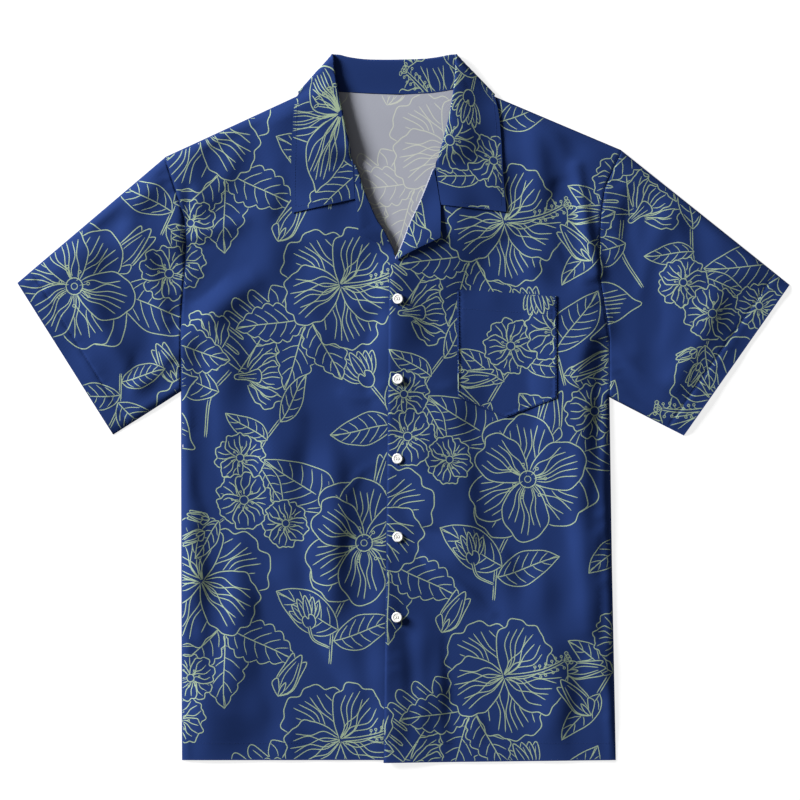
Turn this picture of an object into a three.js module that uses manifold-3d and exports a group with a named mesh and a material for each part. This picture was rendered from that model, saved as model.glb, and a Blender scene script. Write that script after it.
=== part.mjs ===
// Short-sleeved camp-collar shirt laid flat on its back, in millimetres.
// X runs to the wearer's left, Y from hem to collar, Z up from the table it lies on.
import * as THREE from 'three';
import Module from 'manifold-3d';

// Sizes of the cloth walls and of the layers they lie in
const WALL = 1.2;
const SEAM_GAP = 0.45;
const ARMPIT_GAP = 0.7;
const COLLAR_SEAM_GAP = 0.9;
const LAYER_GAP = 0.3;
const LAYER = WALL + LAYER_GAP;
const BACK_LEVEL = WALL / 2;

// Rounded side edges: how wide and how high the top layer turns over them
const EDGE_WIDTH = 11;
const EDGE_HEIGHT = 4.8;
const EDGE_HEIGHT_AT_NECK = 2.4;
const SETTLE_WIDTH = 62;
const RING_RADIUS = 0.9;

// Turned-back lapels and the rolled collar
const LAPEL_RISE = 1.8;
const LAPEL_RISE_WIDTH = 18;
const LAPEL_TURN_WIDTH = 3;
const LAPEL_TURN_DEPTH = 2.6;
const FRONT_INSET_AT_ROLL = 1.7;
const COLLAR_ROLL = 1.7;
const COLLAR_ROLL_WIDTH = 24;
const RESTING_GAP = 0.4;
const COLLAR_WRAP = 3.0;
const COLLAR_WRAP_LEVEL = 3.6;
const COLLAR_FLAT_STRIP = 4;

// Where the back is lifted over the collar's fall, and how far the lift runs out
const LIFT_BOX = { x0: -112, x1: 97, y0: 331, y1: 420 };
const LIFT_RUN_OUT = 60;

// Placket: the wearer's left front laps over the right one
const UNDER_EDGE_X = 7;
const LAP_RUN_OUT = 24;

// Buttons
const BUTTON = { radius: 5.7, height: 2.2, rim: 1.0, dish: 0.6, holeRadius: 0.8, holeOffset: 1.25 };
const BUTTON_PLACES = [
  { name: 'button_1', x: -6.1, y: 119.9 },
  { name: 'button_2', x: -6.1, y: 31.9 },
  { name: 'button_3', x: -6.6, y: -55.6 },
  { name: 'button_4', x: -6.3, y: -141.6 },
  { name: 'button_5', x: -7.2, y: -229.9 },
];

// Outline of the wearer's right half and of the left half
const RIGHT = {
  side: [[-243.5, -387.2], [-244.2, -180], [-244.6, 18.7]],
  armhole: [[-244.6, 18.7], [-244.8, 83.6], [-242.6, 126.5], [-240.4, 154], [-239.4, 188.1],
    [-241.5, 210.1], [-250.3, 238.7], [-262.4, 275.6]],
  shoulder: [[-262.4, 275.6], [-119.4, 341.6], [-89.7, 355.4]],
  sleeveTop: [[-262.4, 275.6], [-424.6, 137.4]],
  sleeveUnder: [[-244.6, 18.7], [-319.4, -29.2]],
  placket: [[UNDER_EDGE_X, -387.2], [UNDER_EDGE_X, 138], [-8.6, 165.5]],
  roll: [[-8.6, 168.3], [-21.1, 194.3], [-29.2, 206.8], [-36.9, 224.1], [-43.1, 239], [-50.2, 261.8],
    [-54.5, 269.5]],
  neck: [[-64, 272], [-68.5, 290], [-74, 309], [-83, 334], [-88.2, 350], [-89.7, 355.4]],
  lapel: [[-8.6, 166.9], [-25.9, 180.1], [-49.4, 193.6], [-51.2, 214.5], [-53.0, 229.9], [-54.0, 250],
    [-54.5, 269.5]],
};
const LEFT = {
  side: [[233.4, -387.2], [229, -167.2], [226.4, 12.1]],
  armhole: [[226.4, 12.1], [226.1, 75.9], [220.6, 112.2], [216.2, 139.7], [215.1, 168.3],
    [216.2, 207.9], [220.6, 240.9], [231.6, 266.2], [239.6, 283.4]],
  shoulder: [[239.6, 283.4], [101.8, 341.6], [73.2, 354.4]],
  sleeveTop: [[239.6, 283.4], [424.6, 135.3]],
  sleeveUnder: [[226.4, 12.1], [308.4, -30.3]],
  placket: [[-22, -390.2], [-19.2, -145.2], [-16.3, 118.8], [-15.4, 157]],
  roll: [[-10.5, 161.4], [-2.3, 179.3], [7.9, 205.3], [18.2, 227.7], [31.4, 260.3], [33, 264]],
  neck: [[42.5, 266], [49, 286], [57, 306], [67, 334], [71.8, 349], [73.2, 354.4]],
  lapel: [[-10.5, 160.0], [1.7, 168.3], [21.5, 178.2], [40.7, 187], [40.8, 205], [40.6, 221.1],
    [36.8, 246], [33, 264]],
};
const BACK_NECK = [[-89.7, 355.4], [-72.1, 347.6], [-36.9, 345.4], [-3.9, 344.3], [29.2, 346],
  [54.5, 349.8], [73.2, 354.4]];

// Collar sections from the wearer's right leading edge round the back to the left one.
// fx fy: fold or inner edge. sx sy: neck seam. ex ey: outer edge. lay: 90 on the fronts, -90 under
// the back. turn: 0 where the leaf lies single beside the lapel, 1 where the stand folds under it.
const COLLAR_COLUMNS = ['fx', 'fy', 'sx', 'sy', 'ex', 'ey', 'lay', 'turn'];
const COLLAR_RIGHT = [
  [-53.4, 229.9, -53.4, 229.9, -122.7, 214.5, 90, 0],
  [-54.4, 246, -54.4, 246, -124.1, 236, 90, 0],
  [-55.6, 270, -55.6, 270, -123.8, 262, 90, 0],
  [-58.8, 287, -68, 288, -123.3, 279, 90, 1],
  [-63.7, 311.3, -74.5, 310, -122.7, 300, 90, 1],
  [-71.6, 348.2, -83, 334, -121.2, 329, 90, 1],
  [-75.8, 370, -88.2, 350, -118.6, 339.5, 90, 1],
];
const COLLAR_BACK = [
  [-71, 388.6, -84, 352.6, -110, 342, -90, 1],
  [-64, 386.6, -72.1, 347.9, -100, 337, -90, 1],
  [-47.9, 383.9, -54, 346.5, -76, 334, -90, 1],
  [-20.4, 382.8, -22, 345, -33, 332.5, -90, 1],
  [4, 383.2, 5, 344.8, 14, 332.2, -90, 1],
  [29.2, 384.5, 36, 346.6, 56, 333.4, -90, 1],
  [45.7, 387.2, 56, 350.2, 84, 336, -90, 1],
  [51.5, 388.6, 68, 353.2, 95, 339.5, -90, 1],
];
const COLLAR_LEFT = [
  [57.0, 370, 71.8, 349, 102.6, 333, 90, 1],
  [54.9, 350, 67, 334, 104.6, 323, 90, 1],
  [48, 312, 57.5, 307, 107.2, 296, 90, 1],
  [40.4, 284, 49, 285, 108.4, 275, 90, 1],
  [34.9, 268, 34.9, 268, 109.2, 260, 90, 0],
  [38.0, 244, 38.0, 244, 111.2, 236, 90, 0],
  [40.9, 223.3, 40.9, 223.3, 112.8, 215.6, 90, 0],
];
const CREASE_RIGHT = {
  fx: -79.8, fy: 390.5, ex: -116.6, ey: 348.3, inward: 1,
  frontSeam: [-88.2, 350], backSeam: [-84, 352.6], seamBow: [-1.2, 4.6],
};
const CREASE_LEFT = {
  fx: 59.4, fy: 390.5, ex: 101.3, ey: 345.6, inward: -1,
  frontSeam: [71.8, 349], backSeam: [68, 353.2], seamBow: [1.2, 4.6],
};
const CREASE_LAYS = [75, 45, 15, -15, -45, -75];
const COLLAR_STEPS_BETWEEN = 2;

// Pocket outline: top corners, side bottoms and the point
const POCKET = {
  topInner: [58.9, 130.4], topOuter: [168.3, 123.6], bottomInner: [58.9, 12.1],
  bottomOuter: [168.3, 11], point: [112.8, -10.5], columns: 10, rows: 8,
};

// Largest folds. x1 y1 to x2 y2: the fold's line. rise: its height, less than 0 for a trough.
// width: how far it spreads to each side.
const FOLD_COLUMNS = ['x1', 'y1', 'x2', 'y2', 'rise', 'width'];
const FOLDS = [
  [190, 262, 212, 152, 3.0, 9],
  [168, 240, 186, 142, -1.6, 9],
  [-232, 196, -182, 204, 2.0, 12],
  [-238, 76, -172, 148, 2.6, 13],
  [-236, 120, -196, 168, -1.6, 9],
  [-77, -36, -77, -214, 1.5, 13],
  [-120, -60, -128, -250, -0.8, 14],
  [-212, -60, -206, -330, -2.2, 12],
  [150, -60, 166, -350, 1.3, 15],
  [196, 20, 204, -240, 1.6, 12],
  [34, -172, 92, -232, 1.3, 9],
  [44, -262, 40, -380, 1.2, 11],
  [-300, 190, -262, 60, 2.2, 14],
  [-352, 130, -298, 40, 1.6, 14],
  [-286, 60, -318, 8, -1.2, 9],
  [286, 200, 262, 70, 2.0, 14],
  [344, 128, 300, 36, 1.7, 14],
  [-176, 300, -206, 232, 1.4, 12],
  [160, 308, 180, 262, 1.3, 11],
];

const CLOTH_COLOUR = 0x2f4e8d;
const BUTTON_COLOUR = 0xf0eee8;

// Small numeric helpers
function mix(a, b, t) {
  return a + (b - a) * t;
}

function clamp(x, low, high) {
  return Math.min(Math.max(x, low), high);
}

function smoothStep(t) {
  const s = clamp(t, 0, 1);
  return s * s * (3 - 2 * s);
}

function rowsOf(table, columns) {
  return table.map((row) => Object.fromEntries(columns.map((name, k) => [name, row[k]])));
}

// The point at a fraction of a curve that climbs in Y
function atHeight(curve, fraction) {
  const low = curve[0][1];
  const high = curve[curve.length - 1][1];
  const y = mix(low, high, fraction);
  let k = 0;
  while (k < curve.length - 2 && curve[k + 1][1] < y) {
    k += 1;
  }
  const [x1, y1] = curve[k];
  const [x2, y2] = curve[k + 1];
  const t = Math.abs(y2 - y1) < 1e-9 ? 0 : clamp((y - y1) / (y2 - y1), 0, 1);
  return [mix(x1, x2, t), mix(y1, y2, t)];
}

// The point at a fraction of a curve's length
function atLength(curve, fraction) {
  const steps = curve.slice(1).map((p, k) => Math.hypot(p[0] - curve[k][0], p[1] - curve[k][1]));
  const total = steps.reduce((a, b) => a + b, 0);
  let left = clamp(fraction, 0, 1) * total;
  let k = 0;
  while (k < steps.length - 1 && left > steps[k]) {
    left -= steps[k];
    k += 1;
  }
  const t = left / steps[k];
  return [mix(curve[k][0], curve[k + 1][0], t), mix(curve[k][1], curve[k + 1][1], t)];
}

// Fractions of a curve's length at its own corners
function lengthFractions(curve) {
  return cornerFractions(curve, Infinity);
}

// Fractions of a curve's length at its own corners, with even steps between them
function cornerFractions(curve, step) {
  const lengths = curve.slice(1).map((p, k) => Math.hypot(p[0] - curve[k][0], p[1] - curve[k][1]));
  const total = lengths.reduce((a, b) => a + b, 0);
  const fractions = [0];
  let run = 0;
  for (const length of lengths) {
    const parts = Math.max(1, Math.round(length / step));
    for (let k = 1; k <= parts; k += 1) {
      fractions.push((run + (length * k) / parts) / total);
    }
    run += length;
  }
  return fractions;
}

function distanceToLine(x, y, x1, y1, x2, y2) {
  const dx = x2 - x1;
  const dy = y2 - y1;
  const t = clamp(((x - x1) * dx + (y - y1) * dy) / (dx * dx + dy * dy), 0, 1);
  return { distance: Math.hypot(x - x1 - t * dx, y - y1 - t * dy), t };
}

function distanceToCurve(x, y, curve) {
  let best = Infinity;
  for (let k = 0; k + 1 < curve.length; k += 1) {
    const found = distanceToLine(x, y, ...curve[k], ...curve[k + 1]);
    best = Math.min(best, found.distance);
  }
  return best;
}

const CLOSED_EDGES = [RIGHT, LEFT].flatMap((half) => [
  half.side, half.sleeveUnder, half.sleeveTop, half.shoulder,
]);

function distanceToClosedEdge(x, y) {
  return Math.min(...CLOSED_EDGES.map((curve) => distanceToCurve(x, y, curve)));
}

// Heights of the layers' middle surfaces
function lift(x, y) {
  const dx = Math.max(LIFT_BOX.x0 - x, 0, x - LIFT_BOX.x1);
  const dy = Math.max(LIFT_BOX.y0 - y, 0, y - LIFT_BOX.y1);
  return 1 - smoothStep(Math.hypot(dx, dy) / LIFT_RUN_OUT);
}

function backLevel(x, y) {
  return BACK_LEVEL + LAYER * lift(x, y);
}

function foldHeight(x, y) {
  let sum = 0;
  for (const fold of rowsOf(FOLDS, FOLD_COLUMNS)) {
    const near = distanceToLine(x, y, fold.x1, fold.y1, fold.x2, fold.y2);
    const taper = 0.55 + 0.45 * Math.sin(Math.PI * near.t);
    sum += fold.rise * taper * Math.exp(-((near.distance / fold.width) ** 2));
  }
  return sum;
}

function edgeRise(distance, height) {
  if (distance < EDGE_WIDTH) {
    const c = 1 - distance / EDGE_WIDTH;
    return height * Math.sqrt(Math.max(0, 1 - c * c));
  }
  const settled = WALL / 2;
  return settled + (height - settled) * Math.exp(-(((distance - EDGE_WIDTH) / SETTLE_WIDTH) ** 2));
}

// The top layer of body and sleeves, before the lap at the placket
function topLevel(x, y) {
  const distance = distanceToClosedEdge(x, y);
  const height = mix(EDGE_HEIGHT, EDGE_HEIGHT_AT_NECK, lift(x, y));
  const rise = edgeRise(distance, height);
  const room = Math.max(0.001, (rise - WALL / 2) * 0.9);
  const fold = foldHeight(x, y) * smoothStep(distance / (EDGE_WIDTH * 1.6));
  const held = fold < 0 ? -room * Math.tanh(-fold / room) : fold;
  return backLevel(x, y) + RING_RADIUS + rise + held;
}

function lapelRise(x, y, half) {
  const distance = distanceToCurve(x, y, half.roll);
  return LAPEL_RISE * Math.exp(-((distance / LAPEL_RISE_WIDTH) ** 2));
}

function rightFrontLevel(x, y) {
  return topLevel(x, y) + lapelRise(x, y, RIGHT) * smoothStep((y - 166) / 30);
}

function leftFrontLevel(x, y) {
  const lap = LAYER * (1 - smoothStep((x - UNDER_EDGE_X - 3) / LAP_RUN_OUT));
  const belowNeck = 1 - smoothStep((y - 176) / 40);
  return topLevel(x, y) + lap * belowNeck + lapelRise(x, y, LEFT) * smoothStep((y - 150) / 30);
}

// A closed wall of even thickness about a grid of middle points
function wall(grid, { ring = false, thickness = WALL } = {}) {
  const rows = grid.length;
  const columns = grid[0].length;
  const columnOf = (j) => (ring ? (j + columns) % columns : clamp(j, 0, columns - 1));
  const at = (i, j) => grid[clamp(i, 0, rows - 1)][columnOf(j)];
  const positions = [];
  const along = new THREE.Vector3();
  const across = new THREE.Vector3();
  const normal = new THREE.Vector3();
  for (const side of [1, -1]) {
    for (let i = 0; i < rows; i += 1) {
      for (let j = 0; j < columns; j += 1) {
        along.subVectors(at(i + 1, j), at(i - 1, j));
        across.subVectors(at(i, j + 1), at(i, j - 1));
        normal.crossVectors(along, across).normalize();
        const p = at(i, j).clone().addScaledVector(normal, (side * thickness) / 2);
        positions.push(p.x, p.y, p.z);
      }
    }
  }
  const index = [];
  const outer = (i, j) => i * columns + ((j + columns) % columns);
  const inner = (i, j) => rows * columns + outer(i, j);
  const quad = (a, b, c, d) => index.push(a, b, c, a, c, d);
  const lastColumn = ring ? columns : columns - 1;
  for (let i = 0; i + 1 < rows; i += 1) {
    for (let j = 0; j < lastColumn; j += 1) {
      quad(outer(i, j), outer(i + 1, j), outer(i + 1, j + 1), outer(i, j + 1));
      quad(inner(i, j), inner(i, j + 1), inner(i + 1, j + 1), inner(i + 1, j));
    }
  }
  for (let j = 0; j < lastColumn; j += 1) {
    quad(outer(0, j), outer(0, j + 1), inner(0, j + 1), inner(0, j));
    quad(outer(rows - 1, j + 1), outer(rows - 1, j), inner(rows - 1, j), inner(rows - 1, j + 1));
  }
  if (!ring) {
    for (let i = 0; i + 1 < rows; i += 1) {
      quad(outer(i + 1, 0), outer(i, 0), inner(i, 0), inner(i + 1, 0));
      const last = columns - 1;
      quad(outer(i, last), outer(i + 1, last), inner(i + 1, last), inner(i, last));
    }
  }
  return solidFrom(positions, index);
}

// A geometry whose faces look outwards
function solidFrom(positions, index) {
  let volume = 0;
  const p = (k) => new THREE.Vector3(positions[3 * k], positions[3 * k + 1], positions[3 * k + 2]);
  for (let k = 0; k < index.length; k += 3) {
    volume += p(index[k]).dot(p(index[k + 1]).cross(p(index[k + 2]))) / 6;
  }
  if (volume < 0) {
    for (let k = 0; k < index.length; k += 3) {
      [index[k + 1], index[k + 2]] = [index[k + 2], index[k + 1]];
    }
  }
  const geometry = new THREE.BufferGeometry();
  geometry.setAttribute('position', new THREE.Float32BufferAttribute(positions, 3));
  geometry.setIndex(index);
  geometry.computeVertexNormals();
  return geometry;
}

// A four-sided patch between its edge curves, each given by a function of 0 to 1
function patch(u, v, edges) {
  const point = [0, 1].map((k) => {
    const upward = mix(edges.bottom(u)[k], edges.top(u)[k], v);
    const acrossIt = mix(edges.outer(v)[k], edges.inner(v)[k], u);
    const corners = mix(
      mix(edges.bottom(0)[k], edges.bottom(1)[k], u),
      mix(edges.top(0)[k], edges.top(1)[k], u),
      v,
    );
    return upward + acrossIt - corners;
  });
  return point;
}

// Fractions across a panel: close together where its edge turns over
function edgeSteps(width) {
  return [0, 14, 32, 52, 72, 90].map((degrees) => {
    const angle = (degrees * Math.PI) / 180;
    return (EDGE_WIDTH * (1 - Math.cos(angle))) / width;
  });
}

// The given fractions in order, with more between them wherever they are further apart than allowed
function filledFractions(given, allowed) {
  const sorted = [...given].sort((a, b) => a - b);
  const kept = sorted.filter((f, k) => k === 0 || f - sorted[k - 1] > 0.004);
  const result = [];
  kept.forEach((f, k) => {
    if (k > 0) {
      const last = kept[k - 1];
      const parts = Math.ceil((f - last) / allowed((f + last) / 2));
      result.push(...stepsBetween(last, f, parts - 1));
    }
    result.push(f);
  });
  return result;
}

function heightFractions(curve) {
  const low = curve[0][1];
  const high = curve[curve.length - 1][1];
  return curve.map((p) => (p[1] - low) / (high - low));
}

function stepsBetween(first, last, count) {
  return Array.from({ length: count }, (_, k) => mix(first, last, (k + 1) / (count + 1)));
}

function insetCurve(curve, amount) {
  return curve.map((p, k) => {
    const a = curve[Math.max(k - 1, 0)];
    const b = curve[Math.min(k + 1, curve.length - 1)];
    const length = Math.hypot(b[0] - a[0], b[1] - a[1]);
    return [p[0] + (amount * -(b[1] - a[1])) / length, p[1] + (amount * (b[0] - a[0])) / length];
  });
}

// One front panel
function frontPanel(half, level, insetSide) {
  const outerCurve = [...half.side, ...half.armhole.slice(1)];
  const roll = insetCurve(half.roll, insetSide * FRONT_INSET_AT_ROLL);
  const innerCurve = [...half.placket, ...roll, ...half.neck];
  const edges = {
    outer: (v) => atHeight(outerCurve, v),
    inner: (v) => atHeight(innerCurve, v),
    bottom: (u) => [0, 1].map((k) => mix(outerCurve[0][k], innerCurve[0][k], u)),
    top: (u) => atLength(half.shoulder, u),
  };
  const width = Math.abs(outerCurve[0][0] - innerCurve[0][0]);
  const height = innerCurve[innerCurve.length - 1][1] - innerCurve[0][1];
  const middle = stepsBetween(EDGE_WIDTH / width, 0.8, 6);
  const across = [...edgeSteps(width), ...middle, 0.8, 0.85, 0.89, 0.93, 0.965, 1];
  const top = edgeSteps(height * 0.9).map((step) => 1 - step);
  const corners = [...heightFractions(outerCurve), ...heightFractions(innerCurve)];
  const below = corners.filter((f) => f < Math.min(...top) - 0.004);
  const along = filledFractions([...below, ...top], (f) => (f < 0.7 ? 0.058 : 0.021));
  const grid = along.map((v) => across.map((u) => {
    const [x, y] = patch(u, v, edges);
    return new THREE.Vector3(x, y, level(x, y));
  }));
  return wall(grid);
}

// The back panel, flat where it rests and lifted over the collar's fall
function backPanel() {
  const shoulderRight = RIGHT.shoulder;
  const shoulderLeft = [...LEFT.shoulder].reverse();
  const topCurve = [...shoulderRight, ...BACK_NECK.slice(1), ...shoulderLeft.slice(1)];
  const across = cornerFractions(topCurve, 24);
  const outerCurve = [...RIGHT.side, ...RIGHT.armhole.slice(1)];
  const innerCurve = [...LEFT.side, ...LEFT.armhole.slice(1)];
  const edges = {
    outer: (v) => atHeight(outerCurve, v),
    inner: (v) => atHeight(innerCurve, v),
    bottom: (u) => [mix(outerCurve[0][0], innerCurve[0][0], u), outerCurve[0][1]],
    top: (u) => atLength(topCurve, u),
  };
  const corners = [...heightFractions(outerCurve), ...heightFractions(innerCurve)];
  const along = filledFractions(corners, (f) => (f < 0.85 ? 0.1 : 0.028));
  const grid = along.map((v) => across.map((u) => {
    const [x, y] = patch(u, v, edges);
    return new THREE.Vector3(x, y, backLevel(x, y));
  }));
  return wall(grid);
}

// One sleeve: a flattened tube, open at the armhole and at the hem
function sleeve(half) {
  const armhole = [...half.armhole].reverse();
  const topHem = half.sleeveTop[1];
  const underHem = half.sleeveUnder[1];
  const away = Math.sign(topHem[0]);
  const edges = {
    bottom: (u) => atLength(armhole, u),
    top: (u) => [mix(topHem[0], underHem[0], u), mix(topHem[1], underHem[1], u)],
    outer: (v) => atLength(half.sleeveTop, v),
    inner: (v) => atLength(half.sleeveUnder, v),
  };
  const width = 225;
  const turned = edgeSteps(width);
  const turnedUnder = turned.map((step) => 1 - step).reverse();
  const first = turned[turned.length - 1];
  const last = turnedUnder[0];
  const inMiddle = lengthFractions(armhole).filter((f) => f > first + 0.004 && f < last - 0.004);
  const spread = filledFractions([first, ...inMiddle, last], () => 0.11).slice(1, -1);
  const over = [...turned, ...spread, ...turnedUnder];
  const corner = [90, 45].map((degrees) => {
    const angle = (degrees * Math.PI) / 180;
    return { step: (RING_RADIUS * (1 - Math.cos(angle))) / width, drop: RING_RADIUS * Math.sin(angle) };
  });
  const under = [
    ...[...corner].reverse().map((c) => ({ u: 1 - c.step, drop: c.drop })),
    ...[...inMiddle].reverse().map((u) => ({ u, drop: RING_RADIUS })),
    ...corner.map((c) => ({ u: c.step, drop: c.drop })),
  ];
  const along = [0, 0.07, 0.16, 0.27, 0.38, 0.5, 0.62, 0.74, 0.86, 1];
  const grid = along.map((v) => {
    const place = (u, z) => {
      const [x, y] = patch(u, v, edges);
      const shift = away * (SEAM_GAP + ARMPIT_GAP * u * u) * (1 - v);
      return new THREE.Vector3(x + shift, y, z ?? topLevel(x, y));
    };
    return [
      ...over.map((u) => place(u)),
      ...under.map((c) => place(c.u, BACK_LEVEL + RING_RADIUS - c.drop)),
    ];
  });
  return wall(grid, { ring: true });
}

// One facing, as the turned-back lapel: its inner edge turns down over the front's folded edge
function lapelFacing(half, level) {
  const rows = cornerFractions(half.lapel, 12).filter((f) => f > 0.05 && f < 0.97);
  const turn = [0, 25, 50, 72, 90].map((degrees) => (degrees * Math.PI) / 180);
  const grid = rows.map((fraction) => {
    const [rx, ry] = atLength(half.roll, fraction);
    const [ox, oy] = atLength(half.lapel, fraction);
    const reach = Math.hypot(ox - rx, oy - ry);
    const turnReach = Math.min(LAPEL_TURN_WIDTH, reach * 0.5);
    const rounded = turn.map((angle) => ({
      t: (turnReach * (1 - Math.cos(angle))) / reach,
      drop: LAPEL_TURN_DEPTH * (1 - Math.sin(angle)),
    }));
    const flat = [0.25, 0.5, 0.75, 1].map((t) => ({ t: mix(turnReach / reach, 1, t), drop: 0 }));
    return [...rounded, ...flat].map(({ t, drop }) => {
      const x = mix(rx, ox, t);
      const y = mix(ry, oy, t);
      return new THREE.Vector3(x, y, level(x, y) + LAYER + RESTING_GAP - drop);
    });
  });
  return wall(grid);
}

// The collar's stations in order, with rounded turns at both shoulder creases
function creaseStations(crease) {
  const dx = crease.ex - crease.fx;
  const dy = crease.ey - crease.fy;
  const length = Math.hypot(dx, dy);
  const nx = (crease.inward * -dy) / length;
  const ny = (crease.inward * dx) / length;
  return CREASE_LAYS.map((lay, k) => {
    const back = COLLAR_WRAP * (1 - Math.cos((lay * Math.PI) / 180));
    const t = (k + 1) / (CREASE_LAYS.length + 1);
    const bow = 4 * t * (1 - t);
    const [sx, sy] = [0, 1].map((n) => (
      mix(crease.frontSeam[n], crease.backSeam[n], t) + crease.seamBow[n] * bow
    ));
    return {
      fx: crease.fx + nx * back,
      fy: crease.fy + ny * back,
      sx,
      sy,
      ex: crease.ex + nx * back,
      ey: crease.ey + ny * back,
      lay,
      turn: 1,
    };
  });
}

function collarStations() {
  const right = rowsOf(COLLAR_RIGHT, COLLAR_COLUMNS);
  const back = rowsOf(COLLAR_BACK, COLLAR_COLUMNS);
  const left = rowsOf(COLLAR_LEFT, COLLAR_COLUMNS);
  const stations = [
    ...right, ...creaseStations(CREASE_RIGHT), ...back, ...creaseStations(CREASE_LEFT).reverse(), ...left,
  ];
  const result = [];
  stations.forEach((a, k) => {
    result.push(a);
    const b = stations[k + 1];
    const apart = b ? Math.hypot(b.ex - a.ex, b.ey - a.ey) + Math.hypot(b.fx - a.fx, b.fy - a.fy) : 0;
    if (apart > 24) {
      for (let step = 1; step < COLLAR_STEPS_BETWEEN; step += 1) {
        const t = step / COLLAR_STEPS_BETWEEN;
        const between = COLLAR_COLUMNS.map((name) => [name, mix(a[name], b[name], t)]);
        result.push(Object.fromEntries(between));
      }
    }
  });
  return result;
}

function shirtTop(x, y) {
  const middle = (LEFT.neck[0][0] + RIGHT.neck[0][0]) / 2;
  return x < middle ? rightFrontLevel(x, y) : leftFrontLevel(x, y);
}

// Middle points of one collar section: seam, stand, rolled fold, fall, outer edge
function collarSection(station) {
  const lay = (station.lay * Math.PI) / 180;
  const fallX = station.ex - station.fx;
  const fallY = station.ey - station.fy;
  const fall = Math.hypot(fallX, fallY);
  const outX = station.fx - station.sx;
  const outY = station.fy - station.sy;
  const standLength = Math.max(Math.hypot(outX, outY), 0.001);
  const side = Math.sign(fallX) || 1;
  const normalX = (side * fallY) / fall;
  const normalY = (side * -fallX) / fall;
  const isFront = station.lay > 80;
  const wrapLevel = COLLAR_WRAP_LEVEL + COLLAR_WRAP * Math.sin(lay);
  const fallLevel = (x, y, reach) => {
    if (!isFront) {
      return wrapLevel;
    }
    const roll = (2 * COLLAR_ROLL - LAYER) * Math.exp(-((reach / COLLAR_ROLL_WIDTH) ** 2));
    return shirtTop(x, y) + LAYER + RESTING_GAP + roll * station.turn;
  };
  const points = [];
  const outUnit = [outX / standLength, outY / standLength];
  const foldX = station.fx - outUnit[0] * COLLAR_ROLL * station.turn;
  const foldY = station.fy - outUnit[1] * COLLAR_ROLL * station.turn;
  const foldTop = fallLevel(station.fx, station.fy, 0);
  const w = { x: -normalX * Math.cos(lay), y: -normalY * Math.cos(lay), z: Math.sin(lay) };
  const rolled = [];
  const seamX = station.sx + outUnit[0] * COLLAR_SEAM_GAP;
  const seamY = station.sy + outUnit[1] * COLLAR_SEAM_GAP;
  const seamLevel = mix(
    backLevel(station.sx, station.sy),
    shirtTop(station.sx, station.sy),
    isFront ? 1 : (1 + Math.sin(lay)) / 2,
  );
  const lowX = foldX - 2 * COLLAR_ROLL * w.x;
  const lowY = foldY - 2 * COLLAR_ROLL * w.y;
  const lowZ = foldTop - 2 * COLLAR_ROLL * w.z;
  for (const t of [0, 0.35, 0.7]) {
    rolled.push([mix(seamX, lowX, t), mix(seamY, lowY, t), mix(seamLevel, lowZ, smoothStep(t))]);
  }
  for (const degrees of [0, 36, 72, 108, 144]) {
    const angle = (degrees * Math.PI) / 180;
    const c = COLLAR_ROLL * (1 + Math.cos(angle));
    const s = COLLAR_ROLL * Math.sin(angle);
    rolled.push([
      foldX - c * w.x + s * outUnit[0],
      foldY - c * w.y + s * outUnit[1],
      foldTop - c * w.z,
    ]);
  }
  rolled.forEach((p, k) => {
    const reach = (COLLAR_FLAT_STRIP * k) / rolled.length;
    const x = station.fx + (fallX / fall) * reach;
    const y = station.fy + (fallY / fall) * reach;
    const flat = [x, y, fallLevel(x, y, reach)];
    points.push(new THREE.Vector3(...[0, 1, 2].map((n) => mix(flat[n], p[n], station.turn))));
  });
  const startX = mix(station.fx + (fallX / fall) * COLLAR_FLAT_STRIP, foldX, station.turn);
  const startY = mix(station.fy + (fallY / fall) * COLLAR_FLAT_STRIP, foldY, station.turn);
  for (const t of [0, 0.12, 0.28, 0.46, 0.64, 0.82, 1]) {
    const x = mix(startX, station.ex, t);
    const y = mix(startY, station.ey, t);
    points.push(new THREE.Vector3(x, y, fallLevel(x, y, t * fall)));
  }
  return points;
}

function collar() {
  return wall(collarStations().map(collarSection));
}

// Patch pocket with a pointed bottom, on the wearer's left front
function pocket() {
  const grid = [];
  for (let i = 0; i <= POCKET.rows; i += 1) {
    const row = [];
    for (let j = 0; j <= POCKET.columns; j += 1) {
      const u = j / POCKET.columns;
      const pointAt = (POCKET.point[0] - POCKET.bottomInner[0]) / (POCKET.topOuter[0] - POCKET.topInner[0]);
      const bottomY = u < pointAt
        ? mix(POCKET.bottomInner[1], POCKET.point[1], u / pointAt)
        : mix(POCKET.point[1], POCKET.bottomOuter[1], (u - pointAt) / (1 - pointAt));
      const x = mix(POCKET.topInner[0], POCKET.topOuter[0], u);
      const y = mix(bottomY, mix(POCKET.topInner[1], POCKET.topOuter[1], u), i / POCKET.rows);
      row.push(new THREE.Vector3(x, y, leftFrontLevel(x, y) + LAYER + RESTING_GAP));
    }
    grid.push(row);
  }
  return wall(grid);
}

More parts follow.
